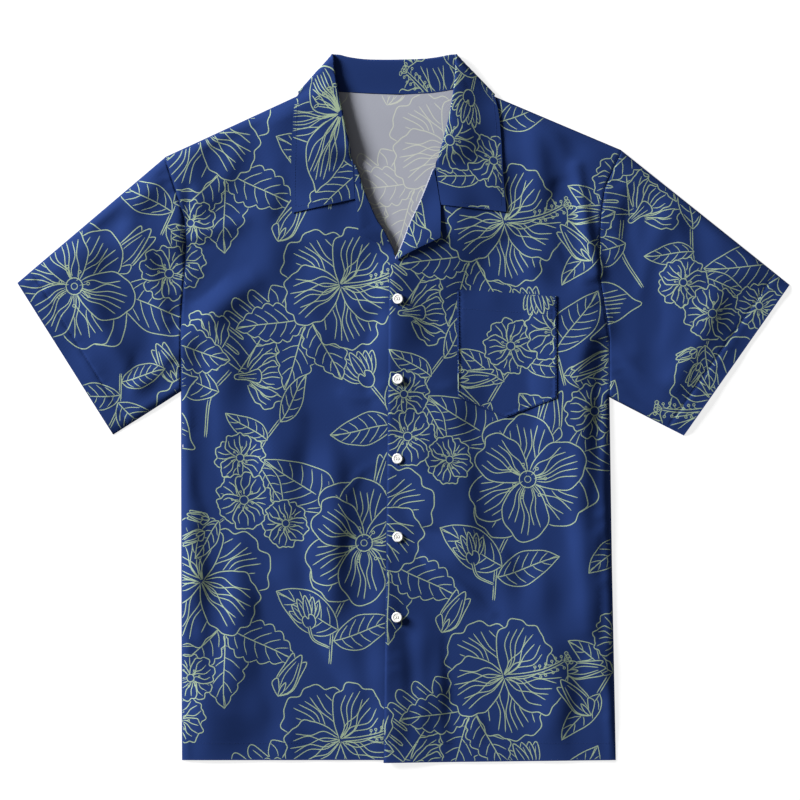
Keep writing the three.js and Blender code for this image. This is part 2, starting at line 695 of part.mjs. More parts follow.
// Four-hole button: a turned disc with a raised rim, less its holes
async function buttonGeometry() {
  const wasm = await Module();
  wasm.setup();
  const { radius, height, rim, dish, holeRadius, holeOffset } = BUTTON;
  const profile = [
    [0, 0], [radius - 0.7, 0], [radius, 0.7], [radius, height - 0.5], [radius - 0.5, height],
    [radius - rim - 0.3, height], [radius - rim - 0.9, height - dish], [0, height - dish],
  ];
  const disc = wasm.CrossSection.ofPolygons([profile]).revolve(20);
  let solid = disc;
  for (const sx of [-1, 1]) {
    for (const sy of [-1, 1]) {
      const hole = wasm.Manifold.cylinder(height * 3, holeRadius, holeRadius, 6, true);
      solid = solid.subtract(hole.translate([sx * holeOffset, sy * holeOffset, 0]));
    }
  }
  const mesh = solid.getMesh();
  const positions = [];
  for (let k = 0; k < mesh.vertProperties.length; k += mesh.numProp) {
    positions.push(mesh.vertProperties[k], mesh.vertProperties[k + 1], mesh.vertProperties[k + 2]);
  }
  return solidFrom(positions, Array.from(mesh.triVerts));
}

function cloth(name, geometry) {
  const material = new THREE.MeshStandardMaterial({ color: CLOTH_COLOUR, roughness: 0.85, metalness: 0 });
  material.name = 'cloth';
  const mesh = new THREE.Mesh(geometry, material);
  mesh.name = name;
  return mesh;
}

const shirt = new THREE.Group();
shirt.add(cloth('back', backPanel()));
shirt.add(cloth('front_right', frontPanel(RIGHT, rightFrontLevel, 1)));
shirt.add(cloth('front_left', frontPanel(LEFT, leftFrontLevel, -1)));
shirt.add(cloth('sleeve_right', sleeve(RIGHT)));
shirt.add(cloth('sleeve_left', sleeve(LEFT)));
shirt.add(cloth('facing_right', lapelFacing(RIGHT, rightFrontLevel)));
shirt.add(cloth('facing_left', lapelFacing(LEFT, leftFrontLevel)));
shirt.add(cloth('collar', collar()));
shirt.add(cloth('pocket', pocket()));

const buttonShape = await buttonGeometry();
for (const place of BUTTON_PLACES) {
  const material = new THREE.MeshStandardMaterial({ color: BUTTON_COLOUR, roughness: 0.35, metalness: 0 });
  const button = new THREE.Mesh(buttonShape.clone(), material);
  button.name = place.name;
  const under = [0, 60, 120, 180, 240, 300].map((degrees) => {
    const angle = (degrees * Math.PI) / 180;
    const x = place.x + BUTTON.radius * Math.cos(angle);
    return leftFrontLevel(x, place.y + BUTTON.radius * Math.sin(angle));
  });
  button.position.set(place.x, place.y, Math.max(...under) + WALL / 2 + LAYER_GAP);
  shirt.add(button);
}

export default shirt;
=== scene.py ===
"""Looks of a short-sleeved camp-collar shirt, laid flat on its back on a table.

Lengths are in millimetres until a mesh is made. X runs to the wearer's left, Y from hem to collar, Z up.
"""
import logging
import math
import random
from dataclasses import dataclass, field
from enum import Enum
from typing import Callable, Iterable, Sequence

import bpy
import numpy as np
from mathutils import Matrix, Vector
from mathutils.bvhtree import BVHTree
from mathutils.geometry import delaunay_2d_cdt


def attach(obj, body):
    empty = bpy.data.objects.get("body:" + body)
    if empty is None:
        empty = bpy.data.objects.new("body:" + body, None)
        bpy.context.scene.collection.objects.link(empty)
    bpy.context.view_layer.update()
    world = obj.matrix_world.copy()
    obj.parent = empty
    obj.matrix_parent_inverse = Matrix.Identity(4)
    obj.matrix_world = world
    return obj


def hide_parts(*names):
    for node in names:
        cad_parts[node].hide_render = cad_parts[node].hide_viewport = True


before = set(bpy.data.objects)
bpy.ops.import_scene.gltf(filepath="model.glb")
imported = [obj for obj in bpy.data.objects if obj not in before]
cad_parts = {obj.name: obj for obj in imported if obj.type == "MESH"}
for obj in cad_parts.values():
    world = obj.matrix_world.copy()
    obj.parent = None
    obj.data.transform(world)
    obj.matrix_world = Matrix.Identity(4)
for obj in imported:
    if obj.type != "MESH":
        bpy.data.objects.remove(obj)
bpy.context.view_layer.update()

MM = 0.001
LOG = logging.getLogger("shirt")

Points = np.ndarray
Number = float | np.ndarray
Lines = list[tuple[Points, float]]
Level = Callable[[Points], np.ndarray]
Place = Callable[[Points], tuple[Points, Points]]


class Slot(Enum):
    """Material slots of the part's record."""

    CLOTH = "cloth"
    BUTTON = "button"


class Side(Enum):
    """The wearer's two sides; the value is the sign of X."""

    RIGHT = -1
    LEFT = 1

    @property
    def word(self) -> str:
        """Returns the side's name as the pieces' names have it."""
        return self.name.lower()

    @property
    def half(self) -> "Half":
        """Returns the outline of the shirt's half on this side."""
        return RIGHT_HALF if self is Side.RIGHT else LEFT_HALF


class Finish(Enum):
    """Finishes on a cloth piece, in the order of its material slots."""

    GROUND = 0
    INK = 1
    REVERSE = 2
    REVERSE_INK = 3


# Curves and simple numbers


def mix(a: Number, b: Number, t: Number) -> Number:
    """Returns the value a fraction t of the way from a to b."""
    return a + (b - a) * t


def smooth_step(t: Number) -> Number:
    """Returns 0 to 1 with level ends as t goes from 0 to 1."""
    s = np.clip(t, 0.0, 1.0)
    return s * s * (3.0 - 2.0 * s)


def table(*rows: Sequence[float]) -> Points:
    """Returns rows of numbers as an array."""
    return np.array(rows, float)


def lengths_along(curve: Points) -> np.ndarray:
    """Returns the length run at each point of a curve."""
    steps = np.linalg.norm(np.diff(curve, axis=0), axis=1)
    return np.concatenate([[0.0], np.cumsum(steps)])


def at_fraction(curve: Points, fractions: np.ndarray) -> Points:
    """Points at fractions of a curve's length.

    Args:
        curve: points of an open curve.
        fractions: 0 at its start to 1 at its end.

    Returns:
        One point for each fraction.
    """
    run = lengths_along(curve)
    wanted = np.clip(fractions, 0.0, 1.0) * run[-1]
    return np.stack([np.interp(wanted, run, curve[:, k]) for k in range(curve.shape[1])], axis=-1)


def evenly(curve: Points, step: float) -> Points:
    """Resamples a curve at even steps that also keep its own corners.

    Args:
        curve: points of an open curve.
        step: the longest step allowed.

    Returns:
        The finer curve, its ends included.
    """
    parts = []
    for a, b in zip(curve[:-1], curve[1:]):
        count = max(1, int(math.ceil(np.linalg.norm(b - a) / step)))
        parts.append(a + (b - a) * (np.arange(count) / count)[:, None])
    parts.append(curve[-1:])
    return np.vstack(parts)


def spline(points: Sequence, step: float = 2.0, closed: bool = False) -> Points:
    """Smooth curve through points.

    Args:
        points: the points that it goes through.
        step: about how far apart the new points are.
        closed: whether the last point joins the first.

    Returns:
        Points of the curve.
    """
    p = np.asarray(points, float)
    if closed:
        q = p[[(k - 1) % len(p) for k in range(len(p) + 3)]]
    else:
        q = np.vstack([2 * p[0] - p[1], p, 2 * p[-1] - p[-2]])
    out = []
    for a, b, c, d in zip(q[:-3], q[1:-2], q[2:-1], q[3:]):
        count = max(2, int(math.ceil(np.linalg.norm(c - b) / step)))
        t = np.linspace(0.0, 1.0, count, endpoint=False)[:, None]
        out.append(0.5 * (2 * b + (c - a) * t + (2 * a - 5 * b + 4 * c - d) * t**2
                          + (3 * b - a - 3 * c + d) * t**3))
    if not closed:
        out.append(q[-2][None])
    return np.vstack(out)


def unit(vectors: np.ndarray, least: float = 1e-12) -> np.ndarray:
    """Returns vectors made 1 long."""
    return vectors / np.maximum(np.linalg.norm(vectors, axis=-1), least)[..., None]


def directions(curve: Points) -> Points:
    """Returns unit directions along an open curve."""
    return unit(np.gradient(curve, axis=0), 1e-9)


def left_of(direction: Points) -> Points:
    """Returns directions turned a quarter to the left."""
    return np.stack([-direction[:, 1], direction[:, 0]], axis=1)


def inside(polygon: Points, points: Points) -> np.ndarray:
    """Tells which points lie inside a polygon.

    Args:
        polygon: its corners in order.
        points: the points to test.

    Returns:
        True for each point inside.
    """
    found = np.zeros(len(points), bool)
    low, high = polygon.min(0), polygon.max(0)
    near = ((points >= low) & (points <= high)).all(axis=1)
    if not near.any():
        return found
    x, y = points[near, 0][:, None], points[near, 1][:, None]
    a, b = polygon, np.roll(polygon, -1, axis=0)
    spans = (a[:, 1] > y) != (b[:, 1] > y)
    with np.errstate(divide="ignore", invalid="ignore"):
        at = a[:, 0] + (y - a[:, 1]) * (b[:, 0] - a[:, 0]) / (b[:, 1] - a[:, 1])
        crossed = spans & (x < at)
    found[near] = crossed.sum(axis=1) % 2 == 1
    return found


def nearest_on(curve: Points, points: Points) -> tuple[np.ndarray, np.ndarray]:
    """Nearest places on an open curve.

    Args:
        curve: the curve's points.
        points: the points to measure from.

    Returns:
        The distances, and the lengths run along the curve.
    """
    a, d = curve[:-1], np.diff(curve, axis=0)
    run = lengths_along(curve)
    best = np.full(len(points), np.inf)
    place = np.zeros(len(points))
    for k in range(len(a)):
        rel = points - a[k]
        t = np.clip(rel @ d[k] / max(d[k] @ d[k], 1e-12), 0.0, 1.0)
        away = np.hypot(rel[:, 0] - t * d[k, 0], rel[:, 1] - t * d[k, 1])
        closer = away < best
        best[closer] = away[closer]
        place[closer] = (run[k] + t * (run[k + 1] - run[k]))[closer]
    return best, place


def nearest_index(curve: Points, place: Points) -> int:
    """Returns which point of a curve is nearest to a place."""
    return int(np.argmin(np.hypot(*(curve - place).T)))


def inset(outline: Points, amount: float) -> Points:
    """Moves a closed outline inwards; it runs anticlockwise.

    Args:
        outline: the outline's points.
        amount: how far each goes in.

    Returns:
        The smaller outline.
    """
    d = unit(np.roll(outline, -1, axis=0) - np.roll(outline, 1, axis=0), 1e-9)
    return outline + left_of(d) * amount


def area_of(outline: Points) -> float:
    """Returns the area of a closed outline, more than 0 if it runs anticlockwise."""
    x, y = outline[:, 0], outline[:, 1]
    return float(np.sum(x * np.roll(y, -1) - np.roll(x, -1) * y) / 2)


def anticlockwise(loop: Points) -> Points:
    """Returns a closed outline so that it runs anticlockwise."""
    return loop if area_of(loop) > 0 else loop[::-1]


def stepped_loop(loop: Points, step: float) -> Points:
    """Returns a closed outline, anticlockwise and in even steps."""
    return anticlockwise(evenly(np.vstack([loop, loop[:1]]), step)[:-1])


def strip_outline(low: Points, high: Points, step: float, end_step: float) -> Points:
    """Outline of a strip between two edges.

    Args:
        low: one edge.
        high: the other edge, run the same way.
        step: the longest step along the edges.
        end_step: the longest step across the ends.

    Returns:
        The outline, anticlockwise.
    """
    back = high[::-1]
    sides = ((low, step), (np.vstack([low[-1:], back[:1]]), end_step),
             (back, step), (np.vstack([back[-1:], low[:1]]), end_step))
    return anticlockwise(np.vstack([evenly(edge, longest)[:-1] for edge, longest in sides]))


# The shirt's form


@dataclass(frozen=True)
class Half:
    """Outline of one half of the shirt, each edge from hem to neck or from body to sleeve hem."""

    side: Points
    armhole: Points
    shoulder: Points
    sleeve_top: Points
    sleeve_under: Points
    placket: Points
    roll: Points
    neck: Points
    lapel: Points

    def armhole_curve(self) -> Points:
        """Returns the armhole seam as a smooth curve."""
        return spline(self.armhole, 6.0)

    def sleeve_hem(self) -> Points:
        """Returns the sleeve's hem from its underside to its top."""
        return np.vstack([self.sleeve_under[-1:], self.sleeve_top[-1:]])


RIGHT_HALF = Half(
    side=table([-243.5, -387.2], [-244.2, -180], [-244.6, 18.7]),
    armhole=table([-244.6, 18.7], [-244.8, 83.6], [-242.6, 126.5], [-240.4, 154], [-239.4, 188.1],
                  [-241.5, 210.1], [-250.3, 238.7], [-262.4, 275.6]),
    shoulder=table([-262.4, 275.6], [-119.4, 341.6], [-89.7, 355.4]),
    sleeve_top=table([-262.4, 275.6], [-424.6, 137.4]),
    sleeve_under=table([-244.6, 18.7], [-319.4, -29.2]),
    placket=table([7, -387.2], [7, 138], [-8.6, 165.5]),
    roll=table([-8.6, 168.3], [-21.1, 194.3], [-29.2, 206.8], [-36.9, 224.1], [-43.1, 239],
               [-50.2, 261.8], [-54.5, 269.5]),
    neck=table([-64, 272], [-68.5, 290], [-74, 309], [-83, 334], [-88.2, 350], [-89.7, 355.4]),
    lapel=table([-8.6, 166.9], [-25.9, 180.1], [-49.4, 193.6], [-51.2, 214.5], [-53, 229.9],
                [-54, 250], [-54.5, 269.5]),
)
LEFT_HALF = Half(
    side=table([233.4, -387.2], [229, -167.2], [226.4, 12.1]),
    armhole=table([226.4, 12.1], [226.1, 75.9], [220.6, 112.2], [216.2, 139.7], [215.1, 168.3],
                  [216.2, 207.9], [220.6, 240.9], [231.6, 266.2], [239.6, 283.4]),
    shoulder=table([239.6, 283.4], [101.8, 341.6], [73.2, 354.4]),
    sleeve_top=table([239.6, 283.4], [424.6, 135.3]),
    sleeve_under=table([226.4, 12.1], [308.4, -30.3]),
    placket=table([-22, -390.2], [-19.2, -145.2], [-16.3, 118.8], [-15.4, 157]),
    roll=table([-10.5, 161.4], [-2.3, 179.3], [7.9, 205.3], [18.2, 227.7], [31.4, 260.3], [33, 264]),
    neck=table([42.5, 266], [49, 286], [57, 306], [67, 334], [71.8, 349], [73.2, 354.4]),
    lapel=table([-10.5, 160], [1.7, 168.3], [21.5, 178.2], [40.7, 187], [40.8, 205], [40.6, 221.1],
                [36.8, 246], [33, 264]),
)
BACK_NECK = table([-89.7, 355.4], [-72.1, 347.6], [-36.9, 345.4], [-3.9, 344.3], [29.2, 346],
                  [54.5, 349.8], [73.2, 354.4])


@dataclass(frozen=True)
class Fold:
    """One crease: a ridge if it rises, a trough if it falls."""

    path: tuple[tuple[float, float], ...]
    rise: float
    width: float
    end: float

    def height(self, points: Points) -> np.ndarray:
        """Returns its height at points, soft across it and lower at its ends."""
        curve = spline(self.path, 14.0)
        away, run = nearest_on(curve, points)
        t = run / lengths_along(curve)[-1]
        taper = self.end + (1.0 - self.end) * np.sin(np.pi * t)
        return self.rise * taper * np.exp(-((away / self.width) ** 2))


FOLD_ROWS = (
    # x and y at its start, middle and end; rise; width; share of the rise kept at its ends
    # Right body, from armhole to hem
    (-234, 190, -206, 196, -178, 206, 2.2, 11, 0.55),
    (-238, 72, -208, 108, -168, 140, 3.0, 14, 0.55),
    (-236, 118, -214, 138, -186, 176, -1.8, 9, 0.55),
    (-226, 84, -219, 0, -216, -96, -2.0, 11, 0.55),
    (-236, 242, -238, 204, -236, 160, -1.8, 7, 0.55),
    (-79, -34, -74, -110, -80, -226, 2.0, 13, 0.55),
    (-104, -20, -112, -120, -104, -240, -1.3, 12, 0.55),
    (-212, -46, -205, -150, -211, -300, -2.4, 13, 0.55),
    (-190, -60, -182, -180, -190, -330, 1.1, 14, 0.55),
    (-148, 10, -152, -90, -140, -180, 0.9, 16, 0.55),
    (-150, -210, -140, -300, -146, -372, -0.9, 14, 0.55),
    (-60, -240, -52, -310, -58, -380, 0.9, 12, 0.55),
    (-176, 300, -190, 266, -206, 232, 1.4, 12, 0.55),
    (-130, 262, -128, 226, -140, 196, -1.0, 10, 0.55),
    (-134, 196, -92, 186, -48, 166, 1.7, 10, 0.55),
    (-112, 168, -70, 158, -30, 132, -1.1, 8, 0.55),
    (-96, 128, -60, 110, -22, 118, 0.9, 9, 0.55),
    (-190, 60, -130, 40, -90, 52, -0.8, 13, 0.55),
    (-28, 104, -44, 60, -36, 12, -0.7, 8, 0.55),
    (-16, 30, -42, 10, -66, 16, 0.6, 6, 0.55),
    (-16, -54, -46, -70, -62, -96, 0.6, 6, 0.55),
    (-16, -142, -44, -152, -64, -148, -0.5, 6, 0.55),
    # Down the placket
    (-16, 140, -19, -140, -22, -400, 2.1, 17, 0.8),
    (-18, 170, -15, 60, -18, -70, 1.5, 38, 0.55),
    (-14, 158, 34, 176, 76, 204, 2.6, 30, 0.6),
    # Left body
    (190, 264, 199, 206, 212, 150, 3.4, 8, 0.55),
    (170, 244, 178, 190, 188, 146, -2.0, 8, 0.55),
    (98, 340, 106, 282, 106, 216, 2.0, 26, 0.7),
    (140, 318, 148, 270, 142, 226, 1.5, 13, 0.55),
    (128, 204, 104, 194, 60, 198, 1.2, 12, 0.55),
    (154, 150, 182, 136, 210, 130, -1.5, 9, 0.55),
    (212, 92, 196, 60, 186, 16, 1.4, 10, 0.55),
    (222, 60, 214, -30, 212, -130, -1.5, 9, 0.55),
    (196, 0, 192, -110, 204, -240, 1.8, 12, 0.55),
    (150, -60, 152, -190, 166, -350, 1.4, 15, 0.55),
    (124, -70, 128, -180, 122, -300, -1.1, 13, 0.55),
    (2, -146, 34, -172, 96, -226, 1.5, 7, 0.55),
    (2, -154, 22, -192, 60, -252, -1.2, 8, 0.55),
    (4, -134, 40, -138, 82, -166, -1.0, 7, 0.55),
    (6, 30, 36, 20, 52, 24, 0.7, 6, 0.55),
    (4, -56, 34, -70, 60, -64, -0.7, 7, 0.55),
    (44, -252, 40, -310, 44, -384, 1.4, 10, 0.55),
    (6, -252, 10, -310, 6, -372, -1.2, 9, 0.55),
    (88, -270, 96, -330, 90, -382, -0.9, 12, 0.55),
    (60, -20, 72, -90, 64, -160, 0.9, 12, 0.55),
    (168, -6, 150, -30, 120, -36, 0.8, 9, 0.55),
    (196, -270, 190, -330, 196, -380, -1.0, 12, 0.55),
    # Right sleeve
    (-300, 196, -272, 132, -262, 58, 2.4, 13, 0.55),
    (-352, 134, -330, 84, -298, 36, 2.0, 13, 0.55),
    (-286, 60, -300, 34, -318, 4, -1.4, 8, 0.55),
    (-384, 150, -320, 176, -262, 176, 2.4, 20, 0.55),
    (-330, 196, -290, 214, -258, 214, -1.3, 12, 0.55),
    (-256, 60, -282, 30, -316, 20, 1.3, 8, 0.55),
    (-270, 250, -300, 210, -312, 166, 0.9, 11, 0.55),
    # Left sleeve
    (286, 204, 262, 140, 256, 64, 2.2, 13, 0.55),
    (344, 132, 330, 84, 300, 32, 2.0, 13, 0.55),
    (250, 236, 246, 190, 250, 140, -1.4, 9, 0.55),
    (384, 146, 338, 150, 300, 134, 1.8, 16, 0.55),
    (236, 60, 262, 36, 296, 20, 1.3, 8, 0.55),
    (240, 36, 262, 10, 284, 0, -1.1, 7, 0.55),
    (266, 252, 300, 206, 316, 160, 0.9, 11, 0.55),
    (160, 310, 172, 286, 180, 262, 1.3, 11, 0.55),
)
FOLDS = tuple(Fold((row[0:2], row[2:4], row[4:6]), *row[6:]) for row in FOLD_ROWS)


@dataclass(frozen=True)
class Puckers:
    """A row of small uneven dents where a seam or hem is stitched."""

    path: tuple[tuple[float, float], ...]
    spacing: float
    depth: float
    reach: float
    seed: float
    long_wander: tuple[float, float] = (0.5, 29.0)
    short_wander: tuple[float, float] = (0.3, 11.3)
    usual_depth: float = 0.6
    depth_swing: float = 0.4
    swing_length: float = 41.0

    def height(self, points: Points) -> np.ndarray:
        """Returns their depth at points, less than 0 in a dent."""
        away, run = nearest_on(spline(self.path, 8.0), points)
        (far, long), (near, short) = self.long_wander, self.short_wander
        sway = far * np.sin(run / long + self.seed) + near * np.sin(run / short - self.seed)
        turn = run / self.spacing + sway
        strength = self.usual_depth + self.depth_swing * np.sin(run / self.swing_length + 2.0 * self.seed)
        dent = 0.5 + 0.5 * np.cos(2.0 * np.pi * turn)
        return -self.depth * strength * dent * np.exp(-((away / self.reach) ** 2))


SEAM_PUCKERS = (
    Puckers(((-252, 30), (-252, 126), (-248, 200), (-266, 262)), 15, 0.50, 8, 0.4),
    Puckers(((-236, 30), (-234, 126), (-232, 200), (-246, 256)), 19, 0.40, 8, 2.1),
    Puckers(((234, 26), (228, 112), (223, 170), (234, 250)), 16, 0.50, 8, 1.2),
    Puckers(((218, 26), (213, 112), (207, 170), (218, 250)), 20, 0.40, 8, 3.3),
    Puckers(((-406, 146), (-303, -17)), 12.5, 0.9, 6.5, 0.9),
    Puckers(((407, 145), (293, -17)), 13.5, 0.8, 6.5, 2.6),
    Puckers(((-240, -368), (-120, -368), (0, -368)), 24, 0.30, 8, 1.7),
    Puckers(((-16, -371), (100, -368), (228, -368)), 26, 0.30, 8, 0.2),
    Puckers(((-237, -380), (-238, -180), (-238, 14)), 34, 0.9, 9, 5.1),
    Puckers(((226, -380), (222, -180), (219, 8)), 37, 0.8, 8, 4.4),
    Puckers(((-14, -380), (-10, -140), (-8, 110)), 31, 0.25, 7, 2.9),
)


@dataclass(frozen=True)
class Undulation:
    """The broad unevenness of cloth smoothed out by hand; lean is in degrees, its mean and its spread."""

    seed: int = 5
    waves: int = 15
    size: float = 0.95
    usual_length: float = 120.0
    lengths: tuple[float, float] = (48.0, 180.0)
    lean: tuple[float, float] = (6.0, 30.0)

    def height(self, points: Points) -> np.ndarray:
        """Returns its height at points: long waves that run mostly up and down the shirt."""
        rng = random.Random(self.seed)
        total = np.zeros(len(points))
        for _ in range(self.waves):
            length = rng.uniform(*self.lengths)
            a = math.radians(rng.gauss(*self.lean))
            p, q = rng.uniform(0.0, 6.3), rng.uniform(0.0, 6.3)
            along = points @ np.array([math.cos(a), math.sin(a)])
            across = points @ np.array([-math.sin(a), math.cos(a)])
            sway = 1.1 * np.sin(across / rng.uniform(60.0, 110.0) + q)
            total += self.size * length / self.usual_length * np.sin(2.0 * np.pi * along / length + p + sway)
        return total


@dataclass
class ShirtForm:
    """Heights of the cloth's layers above the table, at any place of the shirt."""

    cloth: float = 0.5
    back_rest: float = 0.31
    layer: float = 1.5
    edge_width: float = 11.0
    edge_height: float = 4.8
    edge_height_at_neck: float = 2.4
    settle_width: float = 62.0
    ring_radius: float = 0.9
    clear_of_back: float = 0.29
    least_room: float = 0.25
    room_used: float = 0.92
    folds_begin: float = 1.6
    seam_close: float = 0.72
    seam_close_width: float = 8.0
    pinch_begins: float = 6.0
    lapel_rise: float = 4.0
    lapel_rise_width: float = 36.0
    lift_low: tuple[float, float] = (-112.0, 331.0)
    lift_high: tuple[float, float] = (97.0, 420.0)
    lift_run_out: float = 60.0
    placket_x: float = -20.0
    lap_run_out: float = 72.0
    lap_rise: float = 3.6
    lap_top: float = 176.0
    lap_top_run_out: float = 40.0
    right_roll_foot: float = 166.0
    left_roll_foot: float = 150.0
    roll_foot_width: float = 30.0
    edge_turn: float = 1.0
    edge_turn_width: float = 1.7
    edge_turn_top: float = 165.0
    folds: tuple[Fold, ...] = FOLDS
    puckers: tuple[Puckers, ...] = SEAM_PUCKERS
    undulation: Undulation = Undulation()
    settled: float = 2.1
    fold_strength: float = 1.95
    widths_felt: float = 3.2
    highest_fold: float = 15.0
    seam_depth: float = 0.55
    seam_width: float = 1.5
    hem_turn: float = 20.0
    hem_depth: float = 0.55
    hem_line: float = -392.0
    hem_settle_width: float = 58.0
    sleeve_settles: float = 0.6
    sleeve_hem_lead: float = 4.0
    sleeve_pinches: float = 0.68
    hem_ridge: float = 0.6
    hem_ridge_out: float = 5.0
    hem_ridge_width: float = 4.0
    armhole_felt: float = 30.0
    past_opening: float = 15.0
    hem_keeps: float = 0.3
    raster_step: float = 2.0
    raster_low: tuple[float, float] = (-440.0, -404.0)
    raster_high: tuple[float, float] = (440.0, 404.0)
    crease_raster: np.ndarray = field(init=False)
    closed_edges: tuple[Points, ...] = field(init=False)
    silhouette: Points = field(init=False)

    def __post_init__(self) -> None:
        """Works out the folds on a raster, and the outline of the whole shirt."""
        self.closed_edges = tuple(
            edge for half in (RIGHT_HALF, LEFT_HALF)
            for edge in (half.side, half.sleeve_under, half.sleeve_top, half.shoulder))
        below = self.past_opening * np.array([[0.0, -1.0]])
        right = [RIGHT_HALF.side[:1] + below, RIGHT_HALF.side, self.lengthened(RIGHT_HALF.sleeve_under),
                 self.lengthened(RIGHT_HALF.sleeve_top)[::-1], RIGHT_HALF.shoulder, BACK_NECK[1:-1] - below]
        left = [LEFT_HALF.shoulder[::-1], self.lengthened(LEFT_HALF.sleeve_top),
                self.lengthened(LEFT_HALF.sleeve_under)[::-1], LEFT_HALF.side[::-1],
                LEFT_HALF.side[:1] + below]
        self.silhouette = np.vstack(right + left)
        xs = np.arange(self.raster_low[0], self.raster_high[0] + 1, self.raster_step)
        ys = np.arange(self.raster_low[1], self.raster_high[1] + 1, self.raster_step)
        grid = np.stack(np.meshgrid(xs, ys, indexing="ij"), axis=-1)
        flat = grid.reshape(-1, 2)
        total = self.undulation.height(flat)
        for fold in self.folds + self.puckers:
            ends = np.array(fold.path, float)
            reach = self.widths_felt * (fold.width if isinstance(fold, Fold) else fold.reach)
            near = ((flat > ends.min(0) - reach) & (flat < ends.max(0) + reach)).all(axis=1)
            total[near] += fold.height(flat[near]) * self.fold_strength
        self.crease_raster = total.reshape(grid.shape[:2])

    def lengthened(self, edge: Points) -> Points:
        """Returns a straight edge carried a little past the sleeve's opening."""
        way = (edge[-1] - edge[0]) / np.linalg.norm(edge[-1] - edge[0])
        return np.vstack([edge, edge[-1] + way * self.past_opening])

    def creases(self, points: Points) -> np.ndarray:
        """Returns the folds' height at points, read smoothly from the raster."""
        at = (points - np.array(self.raster_low)) / self.raster_step
        size = np.array(self.crease_raster.shape) - 2
        cell = np.clip(np.floor(at).astype(int), 0, size)
        f = np.clip(at - cell, 0.0, 1.0)
        i, j = cell[:, 0], cell[:, 1]
        r = self.crease_raster
        low = mix(r[i, j], r[i + 1, j], f[:, 0])
        high = mix(r[i, j + 1], r[i + 1, j + 1], f[:, 0])
        return mix(low, high, f[:, 1])

    def lift(self, points: Points) -> np.ndarray:
        """Returns 1 where the back lies on the collar's fall, 0 where it lies on the table."""
        low, high = np.array(self.lift_low), np.array(self.lift_high)
        out = np.maximum(np.maximum(low - points, points - high), 0.0)
        return 1.0 - smooth_step(np.hypot(out[:, 0], out[:, 1]) / self.lift_run_out)

    def back(self, points: Points) -> np.ndarray:
        """Returns the back panel's level."""
        return self.back_rest + self.layer * self.lift(points)

    def edge_distance(self, points: Points) -> np.ndarray:
        """Returns the distance to the nearest closed edge, less than 0 outside the shirt."""
        best = np.full(len(points), np.inf)
        for edge in self.closed_edges:
            best = np.minimum(best, nearest_on(edge, points)[0])
        return np.where(inside(self.silhouette, points), best, -best)

    def rise(self, distance: np.ndarray, height: np.ndarray) -> np.ndarray:
        """Returns the rounded rise of the top layer over a closed edge."""
        d = np.maximum(distance, 0.0)
        c = 1.0 - np.minimum(d / self.edge_width, 1.0)
        rounded = height * np.sqrt(np.maximum(1.0 - c * c, 0.0))
        run = np.maximum(d - self.edge_width, 0.0) / self.settle_width
        settling = self.settled + (height - self.settled) * np.exp(-run**2)
        return np.where(d < self.edge_width, rounded, settling)

    def top(self, points: Points) -> np.ndarray:
        """Returns the top layer's level on body and sleeves, before the lap at the placket."""
        distance = self.edge_distance(points)
        height = mix(self.edge_height, self.edge_height_at_neck, self.lift(points))
        rise = self.rise(distance, height)
        room = np.maximum(0.001, (rise - self.least_room) * self.room_used)
        fold = self.creases(points) * smooth_step(distance / (self.edge_width * self.folds_begin))
        held = np.where(fold < 0.0, -room * np.tanh(-fold / room),
                        self.highest_fold * np.tanh(fold / self.highest_fold))
        close = self.seam_close * (1.0 - smooth_step(distance / self.seam_close_width))
        base = self.back(points) + self.clear_of_back + self.ring_radius
        level = base + (rise + held) * self.hem_settle(points) - close
        pinch = self.seam_pinch(points) * self.seam_depth + self.hem_pinch(points) * self.hem_depth
        return level - pinch * smooth_step(distance / self.pinch_begins)

    def from_sleeve_hem(self, points: Points, half: Half, beyond: float) -> tuple[np.ndarray, np.ndarray]:
        """Distances from a sleeve's hem line.

        Args:
            points: the points to measure.
            half: the half whose sleeve it is.
            beyond: share of the way out past which a point counts as near the hem.

        Returns:
            Which points are near, and how far each of those is from the line.
        """
        near = points[:, 0] / half.sleeve_top[1, 0] > beyond
        a, b = half.sleeve_under[1], half.sleeve_top[1]
        d = (b - a) / np.linalg.norm(b - a)
        rel = points[near] - a
        return near, np.abs(rel[:, 0] * d[1] - rel[:, 1] * d[0])

    def hem_settle(self, points: Points) -> np.ndarray:
        """Returns how much of its rise the top layer keeps: less beside the hems, which lie flat."""
        kept = smooth_step((points[:, 1] - self.hem_line) / self.hem_settle_width)
        for side in Side:
            near, away = self.from_sleeve_hem(points, side.half, self.sleeve_settles)
            kept[near] *= smooth_step((away + self.sleeve_hem_lead) / self.hem_settle_width)
        return mix(self.hem_keeps, 1.0, kept)

    def hem_pinch(self, points: Points) -> np.ndarray:
        """Returns 1 where a sleeve's hem is stitched and 0 away from it."""
        pinch = np.zeros(len(points))
        for side in Side:
            near, away = self.from_sleeve_hem(points, side.half, self.sleeve_pinches)
            away = away - self.hem_turn
            ridge = self.hem_ridge * np.exp(-(((away + self.hem_ridge_out) / self.hem_ridge_width) ** 2))
            pinch[near] = np.exp(-((away / self.seam_width) ** 2)) - ridge
        return pinch

    def seam_pinch(self, points: Points) -> np.ndarray:
        """Returns 1 in the groove of an armhole seam and 0 away from it."""
        pinch = np.zeros(len(points))
        for side in Side:
            near = np.abs(points[:, 0] - side.half.armhole[:, 0].mean()) < self.armhole_felt
            away = nearest_on(side.half.armhole, points[near])[0]
            pinch[near] += np.exp(-((away / self.seam_width) ** 2))
        return pinch

    def lapel(self, points: Points, half: Half) -> np.ndarray:
        """Returns the soft rise beside one half's roll line."""
        away = nearest_on(half.roll, points)[0]
        return self.lapel_rise * np.exp(-((away / self.lapel_rise_width) ** 2))

